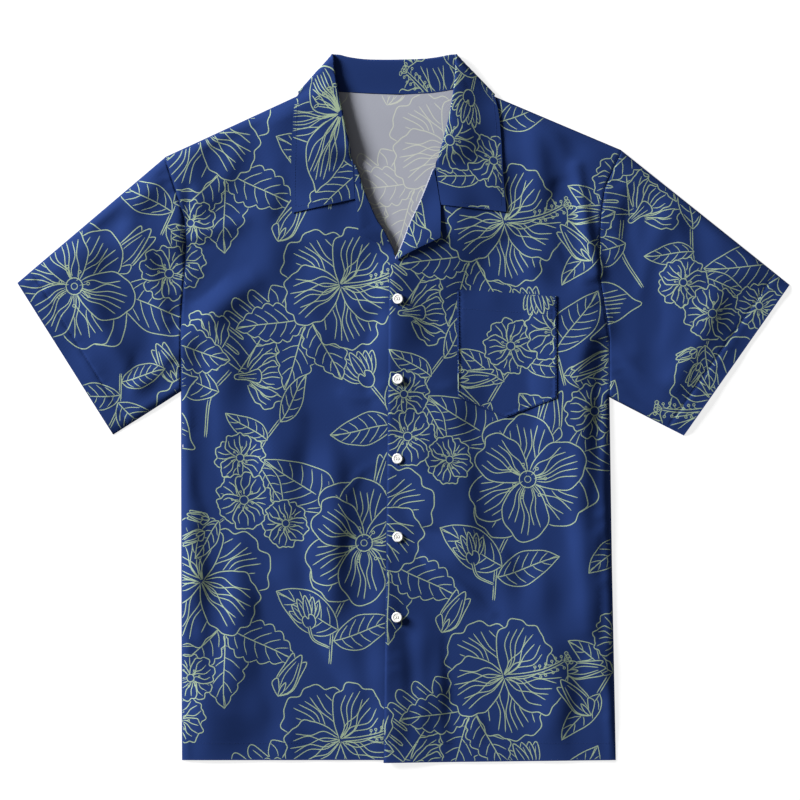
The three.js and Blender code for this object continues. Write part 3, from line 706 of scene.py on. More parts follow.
    def right_front(self, points: Points) -> np.ndarray:
        """Returns the wearer's right front's level."""
        belongs = smooth_step((points[:, 1] - self.right_roll_foot) / self.roll_foot_width)
        return self.top(points) + self.lapel(points, RIGHT_HALF) * belongs

    def left_front(self, points: Points) -> np.ndarray:
        """Returns the wearer's left front's level, lapped over the right one."""
        over = 1.0 - smooth_step((points[:, 0] - self.placket_x) / self.lap_run_out)
        below = 1.0 - smooth_step((points[:, 1] - self.lap_top) / self.lap_top_run_out)
        belongs = smooth_step((points[:, 1] - self.left_roll_foot) / self.roll_foot_width)
        turn = np.zeros(len(points))
        near = (points[:, 0] < 0.0) & (points[:, 1] < self.edge_turn_top)
        away = nearest_on(LEFT_HALF.placket, points[near])[0]
        turn[near] = self.edge_turn * np.exp(-((away / self.edge_turn_width) ** 2))
        return (self.top(points) + self.lap_rise * over * below - turn
                + self.lapel(points, LEFT_HALF) * belongs)

    def front_of(self, side: Side) -> Level:
        """Returns the level function of the front on one side."""
        return self.right_front if side is Side.RIGHT else self.left_front

    def front(self, points: Points) -> np.ndarray:
        """Returns the level of whichever front lies at each point above the V."""
        middle = (LEFT_HALF.neck[0, 0] + RIGHT_HALF.neck[0, 0]) / 2
        return np.where(points[:, 0] < middle, self.right_front(points), self.left_front(points))


# The print: line drawings of flowers and leaves


@dataclass
class Drawing:
    """Drawn lines, and the closed shapes that hide what lies under them."""

    lines: Lines = field(default_factory=list)
    shapes: list[Points] = field(default_factory=list)

    def hide(self, shape: Points) -> None:
        """Takes out the stretches of earlier lines that lie under a shape."""
        low, high = shape.min(0), shape.max(0)
        kept = []
        for points, width in self.lines:
            if (points.max(0) < low).any() or (points.min(0) > high).any():
                kept.append((points, width))
                continue
            kept += runs_of(points, width, ~inside(shape, points))
        self.lines = kept

    def draw(self, points: Points, width: float = 1.1) -> None:
        """Draws one line."""
        self.lines.append((np.asarray(points, float), width))

    def stroke(self, points: Sequence, width: float, step: float = 2.0) -> None:
        """Draws a smooth line through points."""
        self.draw(spline(points, step), width)

    def mask(self, shape: Points) -> None:
        """Takes out what lies under a shape, and keeps the shape."""
        self.hide(shape)
        self.shapes.append(shape)

    def cover(self, outline: Points, width: float = 1.1) -> None:
        """Draws a closed shape that hides what lies under it."""
        self.mask(outline)
        self.draw(np.vstack([outline, outline[:1]]), width)

    def blob(self, points: Sequence, width: float, step: float = 1.3) -> None:
        """Draws a smooth closed shape through points, which hides what lies under it."""
        self.cover(spline(points, step, closed=True), width)

    def strap(self, curve: Points, gap: float, width: float) -> None:
        """Draws a curve as two lines a gap apart that hide what lies between them."""
        side = left_of(directions(curve)) * (gap / 2) * np.linspace(1.0, 0.65, len(curve))[:, None]
        self.mask(np.vstack([curve + side, (curve - side)[::-1]]))
        self.draw(curve + side, width)
        self.draw(curve - side, width)

    def add(self, other: "Drawing", x: float = 0.0, y: float = 0.0, angle: float = 0.0,
            scale: float = 1.0, flip: bool = False) -> None:
        """Puts another drawing over this one.

        Args:
            other: what to add.
            x: where its origin goes.
            y: where its origin goes.
            angle: degrees that it turns by.
            scale: its size.
            flip: whether it is mirrored first.
        """
        for shape in other.shapes:
            self.mask(placed(shape, x, y, angle, scale, flip))
        for points, width in other.lines:
            self.draw(placed(points, x, y, angle, scale, flip), width)


def runs_of(points: Points, width: float, kept: np.ndarray) -> Lines:
    """Splits a line into its stretches that are kept.

    Args:
        points: the line's points.
        width: the line's width.
        kept: True for each point that stays.

    Returns:
        The stretches of three points or more.
    """
    if kept.all():
        return [(points, width)]
    edges = np.flatnonzero(np.diff(np.concatenate([[0], kept.astype(int), [0]])))
    return [(points[a:b], width) for a, b in zip(edges[::2], edges[1::2]) if b - a >= 3]


def turned(points: Points, degrees: float) -> Points:
    """Returns points turned anticlockwise about the origin."""
    c, s = math.cos(math.radians(degrees)), math.sin(math.radians(degrees))
    return points @ np.array([[c, s], [-s, c]])


def placed(points: Points, x: float, y: float, angle: float, scale: float, flip: bool) -> Points:
    """Returns points mirrored, scaled, turned and moved, in that order."""
    mirrored = points * np.array([-scale if flip else scale, scale])
    return turned(mirrored, angle) + np.array([x, y])


def ring(x: float, y: float, radius: float, count: int = 10) -> Points:
    """Returns a closed circle, its first point repeated."""
    a = np.linspace(0.0, 2.0 * math.pi, count + 1)
    return np.stack([x + radius * np.cos(a), y + radius * np.sin(a)], axis=1)


@dataclass(frozen=True)
class Petal:
    """One petal, its base at the origin and its tip up Y."""

    length: float
    width: float
    veins: int = 7
    ruffle: float = 0.03
    waves: float = 5.0
    base: float = 0.14
    lean: float = 0.0
    tip: float = 0.97
    line: float = 1.2
    start: float = 0.0
    pointed: bool = False

    def bent(self, points: Points) -> Points:
        """Returns points leant sideways towards the tip."""
        out = points.copy()
        out[:, 0] += self.lean * self.width * (points[:, 1] / self.length) ** 2
        return out

    def outline(self, rng: random.Random) -> Points:
        """Returns its edge, ruffled towards the tip."""
        side = ((self.base, 0.0), (0.60, 0.20), (0.97, 0.52), (0.84, 0.82), (0.42, 0.985))
        if self.pointed:
            side = ((self.base, 0.0), (0.66, 0.22), (0.98, 0.48), (0.70, 0.76), (0.24, 0.95))
        right = [(self.width * x * rng.uniform(0.95, 1.05), self.length * y) for x, y in side]
        left = [(-self.width * x * rng.uniform(0.95, 1.05), self.length * y) for x, y in side[::-1]]
        curve = spline(self.bent(np.array(right + [(0.0, self.length * self.tip)] + left)), 1.2)
        normal = -left_of(directions(curve))
        t = np.linspace(0.0, 1.0, len(curve))
        weight = np.clip((curve[:, 1] / self.length - 0.35) / 0.4, 0.0, 1.0)
        phase = rng.uniform(0.0, 2.0 * math.pi)
        turn = 2.0 * math.pi * self.waves * t + phase
        wave = np.sin(turn) + 0.45 * np.sin(1.83 * turn + phase)
        return curve + normal * (self.ruffle * self.length * wave * weight)[:, None]

    def lines(self, rng: random.Random) -> list[Points]:
        """Returns its veins, which fan out from the base in soft S-curves."""
        out = []
        for k in range(self.veins):
            f = -0.8 + 1.6 * k / (self.veins - 1)
            end = self.length * (0.93 - 0.24 * abs(f) ** 1.6) * rng.uniform(0.86, 1.03)
            bow = self.width * 0.12 * rng.choice((-1, 1)) * rng.uniform(0.6, 1.3)
            out.append(spline(self.bent(np.array([
                (f * self.base * self.width * 0.9, self.length * 0.02),
                (f * self.width * 0.34 + bow, end * 0.34),
                (f * self.width * 0.66 - bow * 0.6, end * 0.66),
                (f * self.width * 0.84, end),
            ])), 2.2))
        return out

    def draw(self, drawing: Drawing, degrees: float, rng: random.Random) -> None:
        """Draws it at an angle about the flower's middle."""
        up = np.array([0.0, self.start])
        outline, veins = self.outline(rng), self.lines(rng)
        edge = turned(outline + up, degrees)
        drawing.mask(edge)
        drawing.draw(edge, self.line)
        for vein in veins:
            drawing.draw(turned(vein + up, degrees), self.line * 0.88)


def open_bloom(seed: int, radius: float = 60.0) -> Drawing:
    """Returns a large open flower with two rounds of petals about a tuft of stamens."""
    rng = random.Random(seed)
    drawing = Drawing()
    for reach, first in ((1.0, 60.0), (0.93, 0.0)):
        for k in (0, 2, 4, 1, 3, 5):
            if reach == 1.0 and k % 2:
                continue
            length = radius * reach * rng.uniform(0.93, 1.05)
            petal = Petal(length, length * 0.42, veins=6, ruffle=0.022, waves=4, start=1.5,
                          tip=rng.choice((0.93, 1.0, 1.05)), lean=rng.uniform(-0.25, 0.25))
            petal.draw(drawing, first / 2 + k * 60 + rng.uniform(-6, 6), rng)
    drawing.cover(ring(0, 0, radius * 0.13, 18)[:-1], 1.2)
    for k in range(7):
        a = math.radians(k * 360 / 7 + rng.uniform(-8, 8))
        way = np.array([math.cos(a), math.sin(a)])
        tip = way * radius * rng.uniform(0.2, 0.3)
        drawing.stroke([tip * 0.42, tip * 0.6 + way[::-1] * radius * 0.02, tip], 0.95)
        drawing.draw(ring(*(tip * 1.08), radius * 0.022, 8), 0.9)
    drawing.draw(ring(0, 0, radius * 0.05, 10), 0.9)
    return drawing


def lily(seed: int, radius: float = 74.0) -> Drawing:
    """Returns a large flower with six long pointed petals, each with long close veins."""
    rng = random.Random(seed)
    drawing = Drawing()
    for k in (3, 1, 5, 2, 4, 0):
        length = radius * (0.82, 0.95, 1.04, 1.0, 0.9, 1.08)[k]
        petal = Petal(length, length * rng.uniform(0.30, 0.35), veins=8, ruffle=0.012, waves=3, base=0.12,
                      lean=rng.choice((-0.7, 0.6)), tip=1.06, start=2.0, pointed=True)
        petal.draw(drawing, k * 60 + rng.uniform(-9, 9), rng)
    for k in range(6):
        a = math.radians(90 + (k - 2.5) * 13)
        way = np.array([math.cos(a), math.sin(a)])
        tip = way * radius * rng.uniform(0.36, 0.46)
        drawing.stroke([way * radius * 0.05, tip * 0.5 + [2.0 * (k - 2.5) * 0.4, 0.0], tip], 0.95)
        head = turned(ring(0, 0, radius * 0.034, 9) * [[1.0, 0.55]], math.degrees(a) + 50)
        drawing.draw(head + tip * 1.05, 0.95)
    return drawing


def hibiscus(seed: int, radius: float = 62.0) -> Drawing:
    """Returns a ruffled five-petalled flower with a long column of stamens."""
    rng = random.Random(seed)
    drawing = Drawing()
    for k in (2, 4, 1, 3, 0):
        length = radius * rng.uniform(0.92, 1.06)
        petal = Petal(length, length * 0.52, veins=8, ruffle=0.034, waves=7, base=0.08,
                      lean=0.22, tip=1.0)
        petal.draw(drawing, k * 72 + rng.uniform(-5, 5), rng)
    way = np.array([math.cos(math.radians(126)), math.sin(math.radians(126))])
    aside = np.array([-way[1], way[0]])
    column = spline([way * t * radius * 1.02 + aside * radius * 0.1 * math.sin(t * 2.6)
                     for t in (0.03, 0.3, 0.6, 0.85, 1.0)], 2)
    drawing.strap(column, radius * 0.056, 1.1)
    along = directions(column)
    across = left_of(along)
    for k in range(11):
        i = int((0.45 + 0.05 * k) * (len(column) - 1))
        s = 1 if k % 2 else -1
        out = column[i] + across[i] * s * radius * rng.uniform(0.07, 0.11) + along[i] * radius * 0.05
        root = column[i] + across[i] * s * radius * 0.028
        drawing.stroke([root, (column[i] + out) / 2 + along[i], out], 0.85, 1.5)
        drawing.draw(ring(*out, radius * 0.02, 7), 0.9)
    for s in (-1.0, -0.3, 0.3, 1.0):
        out = column[-1] + along[-1] * radius * 0.1 + across[-1] * s * radius * 0.085
        drawing.stroke([column[-1], (column[-1] + out) / 2, out], 0.9, 1.5)
        drawing.draw(ring(*out, radius * 0.03, 8), 0.95)
    return drawing


def blossom(seed: int, radius: float = 27.0) -> Drawing:
    """Returns a small round flower."""
    rng = random.Random(seed)
    drawing = Drawing()
    for k in (0, 2, 4, 1, 3):
        length = radius * rng.uniform(0.93, 1.07)
        petal = Petal(length, length * 0.56, veins=4, ruffle=0.045, waves=6, base=0.1, line=1.2)
        petal.draw(drawing, k * 72 + rng.uniform(-5, 5), rng)
    drawing.cover(ring(0, 0, radius * 0.16, 12)[:-1], 1.0)
    for k in range(6):
        a = math.radians(k * 60 + rng.uniform(-10, 10))
        tip = np.array([math.cos(a), math.sin(a)]) * radius * rng.uniform(0.28, 0.4)
        drawing.stroke([tip * 0.5, tip * 0.8, tip], 0.8)
        drawing.draw(ring(*(tip * 1.1), radius * 0.035, 6), 0.8)
    return drawing


def leaf(seed: int, length: float = 78.0, width: float = 17.0, bend: float = 0.12,
         teeth: float = 0.0, pairs: int = 6) -> Drawing:
    """Pointed leaf, its stalk at the origin and its tip up Y.

    Args:
        seed: of its small unevenness.
        length: from stalk to tip.
        width: half of its widest.
        bend: how far the tip leans, as a share of the length.
        teeth: how far its edge bulges between the side veins, as a share of the width.
        pairs: how many pairs of side veins it has.

    Returns:
        The drawing.
    """
    rng = random.Random(seed)
    sides = ((0.0, 0.0), (0.55, 0.12), (0.98, 0.36), (0.86, 0.62), (0.45, 0.84), (0.0, 1.0))

    def bent(points: Points) -> Points:
        """Returns points bowed to one side."""
        out = np.array(points, float)
        rise = np.clip(out[:, 1] / length, 0.0, 1.1)
        out[:, 0] += bend * length * np.sin(math.pi * 0.5 * rise) ** 2
        return out

    def edge(sign: int) -> Points:
        """Returns one edge from stalk to tip."""
        curve = spline([(sign * width * x * rng.uniform(0.94, 1.06), length * y) for x, y in sides], 1.2)
        t = np.linspace(0.0, 1.0, len(curve))
        lobes = np.abs(np.sin(t * math.pi * (pairs + 1))) if teeth else 0.35 * np.sin(t * 20.7 + seed)
        curve[:, 0] += sign * (teeth or 0.05) * width * lobes * np.sin(math.pi * t) ** 0.7
        return curve

    drawing = Drawing()
    drawing.cover(bent(np.vstack([edge(1), edge(-1)[::-1]])))
    drawing.draw(bent(np.stack([np.zeros(24), np.linspace(0.0, length * 0.94, 24)], axis=1)), 1.15)
    heights, reaches = [y for _, y in sides], [x for x, _ in sides]
    for k in range(pairs):
        for s in (-1, 1):
            start = 0.1 + 0.72 * k / max(pairs - 1, 1) + (0.03 if s > 0 else 0.0)
            reach = float(np.interp(min(start + 0.15, 1.0), heights, reaches)) * width * 0.88
            drawing.draw(bent(spline([(0, start * length), (s * reach * 0.5, (start + 0.055) * length),
                                      (s * reach, (start + 0.15) * length)], 2)), 0.95)
    return drawing


def split_leaf(seed: int, length: float = 92.0, width: float = 44.0, lobes: int = 6) -> Drawing:
    """Returns a broad leaf cut into fingers between its side veins."""
    rng = random.Random(seed)

    def reach(t: float) -> float:
        """Returns the half width at a fraction of the length."""
        return width * math.sin(math.pi * (0.16 + 0.80 * t)) ** 0.8

    def edge(sign: int) -> Points:
        """Returns one cut edge from stalk to tip."""
        points = [(0.0, 0.02 * length)]
        for k in range(lobes):
            y0, y1 = length * 0.93 * k / lobes, length * 0.93 * (k + 1) / lobes
            out = reach((k + 0.5) / lobes) * rng.uniform(0.94, 1.05)
            points += [(out * 0.86, y0 + 0.05 * length), (out, (y0 + y1) / 2 + 0.045 * length),
                       (out * 0.9, y1 + 0.015 * length)]
            if k < lobes - 1:
                points += [(out * 0.36, y1 - 0.005 * length), (out * 0.4, y1 + 0.022 * length)]
        points.append((0.0, length))
        return spline([(sign * x, y) for x, y in points], 1.3)

    drawing = Drawing()
    drawing.cover(np.vstack([edge(1), edge(-1)[::-1]]))
    drawing.stroke([(0, 0), (width * 0.03, length * 0.5), (0, length * 0.95)], 1.2)
    for k in range(lobes):
        t = (k + 0.35) / lobes
        for s in (-1, 1):
            drawing.stroke([(0, length * t * 0.88), (s * reach(t) * 0.4, length * (t * 0.93 + 0.045)),
                            (s * reach(t) * 0.82, length * (t * 0.93 + 0.07))], 0.95)
    return drawing


def bud(length: float = 44.0, width: float = 10.0) -> Drawing:
    """Returns a closed bud with its sepals."""
    drawing = Drawing()
    for lean, size in ((-0.5, 0.92), (0.5, 0.95), (0.0, 1.0)):
        y = length * size
        outline = spline([(0, 0), (width * 0.8, y * 0.25), (width * 0.62, y * 0.65),
                          (lean * width * 0.5, y), (-width * 0.62, y * 0.62),
                          (-width * 0.8, y * 0.22)], 1.3, closed=True)
        outline[:, 0] += lean * width * outline[:, 1] / length
        drawing.cover(outline, 1.2)
    for f in (-0.3, 0.28):
        drawing.stroke([(f * width, length * 0.14), (f * width * 1.5, length * 0.45),
                        (f * width * 0.5, length * 0.82)], 0.9)
    for lean in (-1, 1, 0):
        drawing.blob([(0, -2), (lean * width * 0.9 + 2.0, length * 0.14),
                      (lean * width * 0.85, length * 0.30), (lean * width * 0.5 - 2.4, length * 0.12)], 1.1)
    return drawing


def tuft(seed: int, length: float = 34.0, count: int = 6) -> Drawing:
    """Returns a cluster of narrow pointed petals opening from one cup."""
    rng = random.Random(seed)
    drawing = Drawing()
    middle = (count - 1) / 2
    for k in sorted(range(count), key=lambda n: -abs(n - middle)):
        f = (k - middle) / middle
        long, wide = length * (1 - 0.2 * abs(f)) * rng.uniform(0.9, 1.08), length * 0.14
        outline = spline([(0, 0), (wide, long * 0.4), (wide * 0.7, long * 0.8), (0, long),
                          (-wide * 0.8, long * 0.72), (-wide, long * 0.35)], 1.2, closed=True)
        line = spline([(0, long * 0.12), (wide * 0.15, long * 0.5), (0, long * 0.85)], 2)
        aside = np.array([f * 3.0, 0.0])
        drawing.cover(turned(outline, -38 * f) + aside, 1.15)
        drawing.draw(turned(line, -38 * f) + aside, 0.85)
    drawing.blob([(-7, -3), (-8, 6), (-3, 10), (0, 5), (3, 10), (8, 6), (7, -3), (0, -8)], 1.15)
    return drawing


def trumpet(seed: int, length: float = 56.0, width: float = 26.0) -> Drawing:
    """Returns a flower seen from the side: a narrow tube that opens into ruffled petals."""
    rng = random.Random(seed)
    drawing = Drawing()
    for angle, size in ((-34, 0.86), (34, 0.88), (-14, 0.98), (16, 0.96), (0, 0.86)):
        petal = Petal(length * 0.74 * size, width * 0.42, veins=4, ruffle=0.05, waves=5, base=0.2,
                      line=1.2, start=length * 0.22)
        petal.draw(drawing, angle, rng)
    drawing.blob([(-2.2, -3), (-3.4, length * 0.14), (-width * 0.22, length * 0.36), (0, length * 0.42),
                  (width * 0.22, length * 0.36), (3.4, length * 0.14), (2.2, -3)], 1.2)
    for x in (-1.4, 1.6):
        drawing.stroke([(x * 0.5, 0), (x, length * 0.14), (x * 1.8, length * 0.33)], 0.85)
    return drawing


def stalk(points: Sequence, gap: float = 3.0) -> Drawing:
    """Returns a double-line stalk through points."""
    drawing = Drawing()
    drawing.strap(spline(points, 2.2), gap, 1.1)
    return drawing


def arranged(*parts: tuple) -> Drawing:
    """Returns a drawing of others, each put over the ones before it.

    Args:
        *parts: each a drawing, then where it goes, as Drawing.add takes it.
    """
    made = Drawing()
    for part in parts:
        made.add(*part)
    return made


def bloom_spray() -> Drawing:
    """Returns a large bloom with leaves behind it, a bud and a tuft on a long stalk."""
    return arranged(
        (stalk([(0, -40), (-10, -84), (-4, -128)]),),
        (leaf(3, 74, 20, 0.10), -4, -92, 78),
        (leaf(4, 66, 17, -0.14), -6, -104, -66),
        (tuft(5), -34, -92, 34, 0.8),
        (stalk([(-34, -96), (-26, -108), (-8, -112)], 2.2),),
        (leaf(6, 92, 27, 0.16, pairs=7), 34, 30, -48),
        (leaf(7, 88, 25, -0.12, pairs=7), -36, 26, 62),
        (bud(50, 11), 10, 40, 8, 1.15),
        (open_bloom(9, 66), 0, 0, 12))


def hibiscus_spray() -> Drawing:
    """Returns a hibiscus over three toothed leaves, with a bud."""
    return arranged(
        (stalk([(6, -40), (14, -78), (-6, -112)]),),
        (leaf(11, 84, 20, 0.10, teeth=0.22), 8, -50, 168),
        (leaf(12, 78, 19, -0.12, teeth=0.22), 10, -52, -142),
        (leaf(13, 76, 18, 0.10, teeth=0.22), 6, -50, 122),
        (bud(), -52, 44, 48),
        (stalk([(-50, 42), (-30, 30), (-10, 10)], 2.2),),
        (hibiscus(15, 66),))


def lily_spray() -> Drawing:
    """Returns a lily over two broad leaves and a closed bud."""
    return arranged(
        (stalk([(0, -50), (8, -90), (-6, -122)]),),
        (leaf(61, 86, 24, 0.14, teeth=0.16, pairs=7), 4, -64, 118),
        (leaf(62, 80, 22, -0.14, teeth=0.16, pairs=7), 6, -70, -104),
        (bud(56, 10), -40, 42, 40),
        (lily(63, 76), 0, 0, 8))


def branch_spray() -> Drawing:
    """Returns a branch of small blossoms, buds and narrow leaves."""
    return arranged(
        (stalk([(-62, -44), (-30, -12), (6, 8), (40, 40), (52, 70)], 2.6),),
        (stalk([(0, 4), (34, 0), (62, -20)], 2.2),),
        (leaf(21, 56, 12, 0.16, pairs=5), -36, -20, 52),
        (leaf(22, 54, 12, -0.16, pairs=5), -12, -4, -122),
        (leaf(23, 50, 11, 0.14, pairs=5), 44, 50, -40),
        (leaf(28, 60, 12, 0.2, pairs=5), -54, -38, 140),
        (bud(28, 6.5), 54, 70, -14),
        (bud(24, 6), 40, 62, 24),
        (blossom(26, 27), -22, 14, 20),
        (blossom(27, 31), 26, 18, 50),
        (blossom(29, 26), 60, -24))


def trumpet_spray() -> Drawing:
    """Returns two side-view flowers with a broad split leaf behind them."""
    return arranged(
        (split_leaf(31, 100, 46), 6, -10, -8),
        (stalk([(-2, -12), (-10, -44), (2, -84)]),),
        (leaf(32, 68, 17, 0.12), -4, -36, 98),
        (trumpet(33, 62, 34), -18, -14, 58),
        (trumpet(34, 56, 32), 8, -14, -64))


def leaf_spray() -> Drawing:
    """Returns three leaves on a stalk that ends in a tuft."""
    return arranged(
        (stalk([(0, 40), (4, 0), (-6, -40)]),),
        (leaf(41, 80, 21, 0.16, pairs=7), 2, -4, -56),
        (leaf(42, 70, 18, -0.16), 2, -14, 60),
        (leaf(43, 58, 15, 0.12), -2, -30, -118),
        (tuft(44, 38, 7), 0, 42, 4))


class Motif(Enum):
    """Motifs of the print; the value makes the drawing."""

    BLOOM = (bloom_spray,)
    HIBISCUS = (hibiscus_spray,)
    LILY = (lily_spray,)
    BRANCH = (branch_spray,)
    TRUMPETS = (trumpet_spray,)
    LEAVES = (leaf_spray,)
    BLOSSOM = (lambda: blossom(51, 30),)
    BUD = (lambda: bud(46, 11),)

    def drawing(self) -> Drawing:
        """Returns the motif's drawing about its own origin."""
        return self.value[0]()


@dataclass(frozen=True)
class Stamp:
    """Where one motif lies in the repeat."""

    motif: Motif
    x: float
    y: float
    angle: float
    scale: float = 1.0
    flip: bool = False


LAYOUT = (
    Stamp(Motif.TRUMPETS, 396, 110, -24),
    Stamp(Motif.LEAVES, 120, 40, 30, 0.95),
    Stamp(Motif.BRANCH, 240, 250, 12),
    Stamp(Motif.BLOOM, 90, 470, -14),
    Stamp(Motif.HIBISCUS, 350, 420, 18),
    Stamp(Motif.LILY, 262, 64, 158, 0.9, True),
    Stamp(Motif.HIBISCUS, 60, 210, -36, 0.92, True),
    Stamp(Motif.BRANCH, 420, 560, 100, 0.9, True),
    Stamp(Motif.LEAVES, 226, 380, -160, 0.8, True),
    Stamp(Motif.BUD, 170, 160, 40),
    Stamp(Motif.BLOSSOM, 176, 560, 30, 0.95),
    Stamp(Motif.BLOSSOM, 336, 292, 10, 0.8, True),
    Stamp(Motif.BUD, 450, 270, -30, 1.0, True),
)


@dataclass
class PrintedLength:
    """The printed cloth before it is cut: one repeat of line drawings, over and over."""

    width: float = 400.0
    height: float = 500.0
    drawn_width: float = 470.0
    drawn_height: float = 600.0
    enlarged: float = 1.08
    line_weight: float = 0.93
    spill: float = 90.0
    step: float = 0.6
    layout: tuple[Stamp, ...] = LAYOUT
    lines: Lines = field(init=False)

    def __post_init__(self) -> None:
        """Draws the repeat, each motif over the ones before it and over their copies next to it."""
        made = {motif: motif.drawing() for motif in Motif}
        sheet = Drawing()
        size = np.array([self.width, self.height])
        for stamp in self.layout:
            own = Drawing()
            own.add(made[stamp.motif], stamp.x * self.width / self.drawn_width,
                    stamp.y * self.height / self.drawn_height, stamp.angle,
                    stamp.scale * self.enlarged, stamp.flip)
            for ox in (-1, 0, 1):
                for oy in (-1, 0, 1):
                    for shape in own.shapes:
                        moved = shape + size * (ox, oy)
                        if (moved.max(0) > -self.spill).all() and (moved.min(0) < size + self.spill).all():
                            sheet.hide(moved)
            sheet.lines += own.lines
        self.lines = sheet.lines

    def over(self, low: Points, high: Points, shift: tuple[float, float], angle: float) -> Lines:
        """Lines of the print that may cross a box.

        Args:
            low: the box's lowest corner.
            high: its highest corner.
            shift: how the print is moved under the pattern piece.
            angle: degrees that it is turned by.

        Returns:
            Finely stepped lines and their widths.
        """
        corners = np.array([(x, y) for x in (low[0], high[0]) for y in (low[1], high[1])], float)
        back = turned(corners - np.array(shift), -angle)
        size = np.array([self.width, self.height])
        first = np.floor(back.min(0) / size).astype(int) - 1
        last = np.ceil(back.max(0) / size).astype(int) + 1
        found = []
        for i in range(first[0], last[0] + 1):
            for j in range(first[1], last[1] + 1):
                for points, width in self.lines:
                    moved = turned(points + size * (i, j), angle) + np.array(shift)
                    if (moved.max(0) > low).all() and (moved.min(0) < high).all():
                        found.append((evenly(moved, self.step), width * self.line_weight))
        return found

    def within(self, outline: Points, shift: tuple[float, float], angle: float = 0.0,
               margin: float = 0.9, longest: float = 5.0) -> Lines:
        """Lines of the print inside a pattern piece.

        Args:
            outline: the piece's outline, anticlockwise.
            shift: how the print is moved under it.
            angle: degrees that it is turned by.
            margin: how far short of the outline the lines end.
            longest: the longest step left in them.

        Returns:
            Simplified lines and their widths.
        """
        found = self.over(outline.min(0), outline.max(0), shift, angle)
        if not found:
            return []
        small = inset(outline, margin)
        every = np.vstack([points for points, _ in found])
        kept = inside(small, every) & inside(outline, every)
        out, start = [], 0
        for points, width in found:
            mask = kept[start:start + len(points)]
            start += len(points)
            for run, run_width in runs_of(points, width, mask) if mask.any() else ():
                out.append((simplified(run, longest=longest), run_width))
        return out


def simplified(points: Points, tolerance: float = 0.07, longest: float = 5.0) -> Points:
    """Leaves out points of a line that it can do without.

    Args:
        points: the line's points.
        tolerance: how far it may move.
        longest: the longest step allowed.

    Returns:
        The points kept.
    """
    run = lengths_along(points)
    stack = [(0, len(points) - 1)]
    marked = {0, len(points) - 1}
    while stack:
        a, b = stack.pop()
        if b - a < 2:
            continue
        chord = points[b] - points[a]
        size = max(float(np.hypot(*chord)), 1e-9)
        rel = points[a + 1:b] - points[a]
        away = np.abs(rel[:, 0] * chord[1] - rel[:, 1] * chord[0]) / size
        k = int(away.argmax())
        if away[k] > tolerance or run[b] - run[a] > longest:
            middle = a + 1 + k if away[k] > tolerance else (a + b) // 2
            marked.add(middle)
            stack += [(a, middle), (middle, b)]
    return points[sorted(marked)]


def new_object(name: str, data: bpy.types.ID) -> bpy.types.Object:
    """Returns a new object, put in the scene."""
    made = bpy.data.objects.new(name, data)
    bpy.context.scene.collection.objects.link(made)
    return made


# Cutting panels


LINE_END = 0.45
LINE_RUN_IN = 3.0
SHORTEST_LINE = 1.2
CLEAR_OF_OUTLINE = 0.45
CLEAR_OF_INK = 0.75
SLIVER = 0.04
ON_INK = 1e-3


@dataclass
class CutPanel:
    """A panel cut flat into triangles, its outline's points first."""

    points: Points
    triangles: np.ndarray
    inked: np.ndarray
    outline: np.ndarray
    holes: list[np.ndarray] = field(default_factory=list)


def ribbon(points: Points, width: float) -> tuple[Points, Points]:
    """Returns the two edges of a drawn line, tapered at its ends."""
    run = lengths_along(points)
    ends = np.minimum(run, run[-1] - run)
    half = width / 2 * (LINE_END + (1.0 - LINE_END) * smooth_step(ends / LINE_RUN_IN))
    closed = np.hypot(*(points[0] - points[-1])) < 0.2
    if closed:
        half = np.full(len(points), width / 2)
    side = left_of(directions(points)) * half[:, None]
    return points + side, points - side


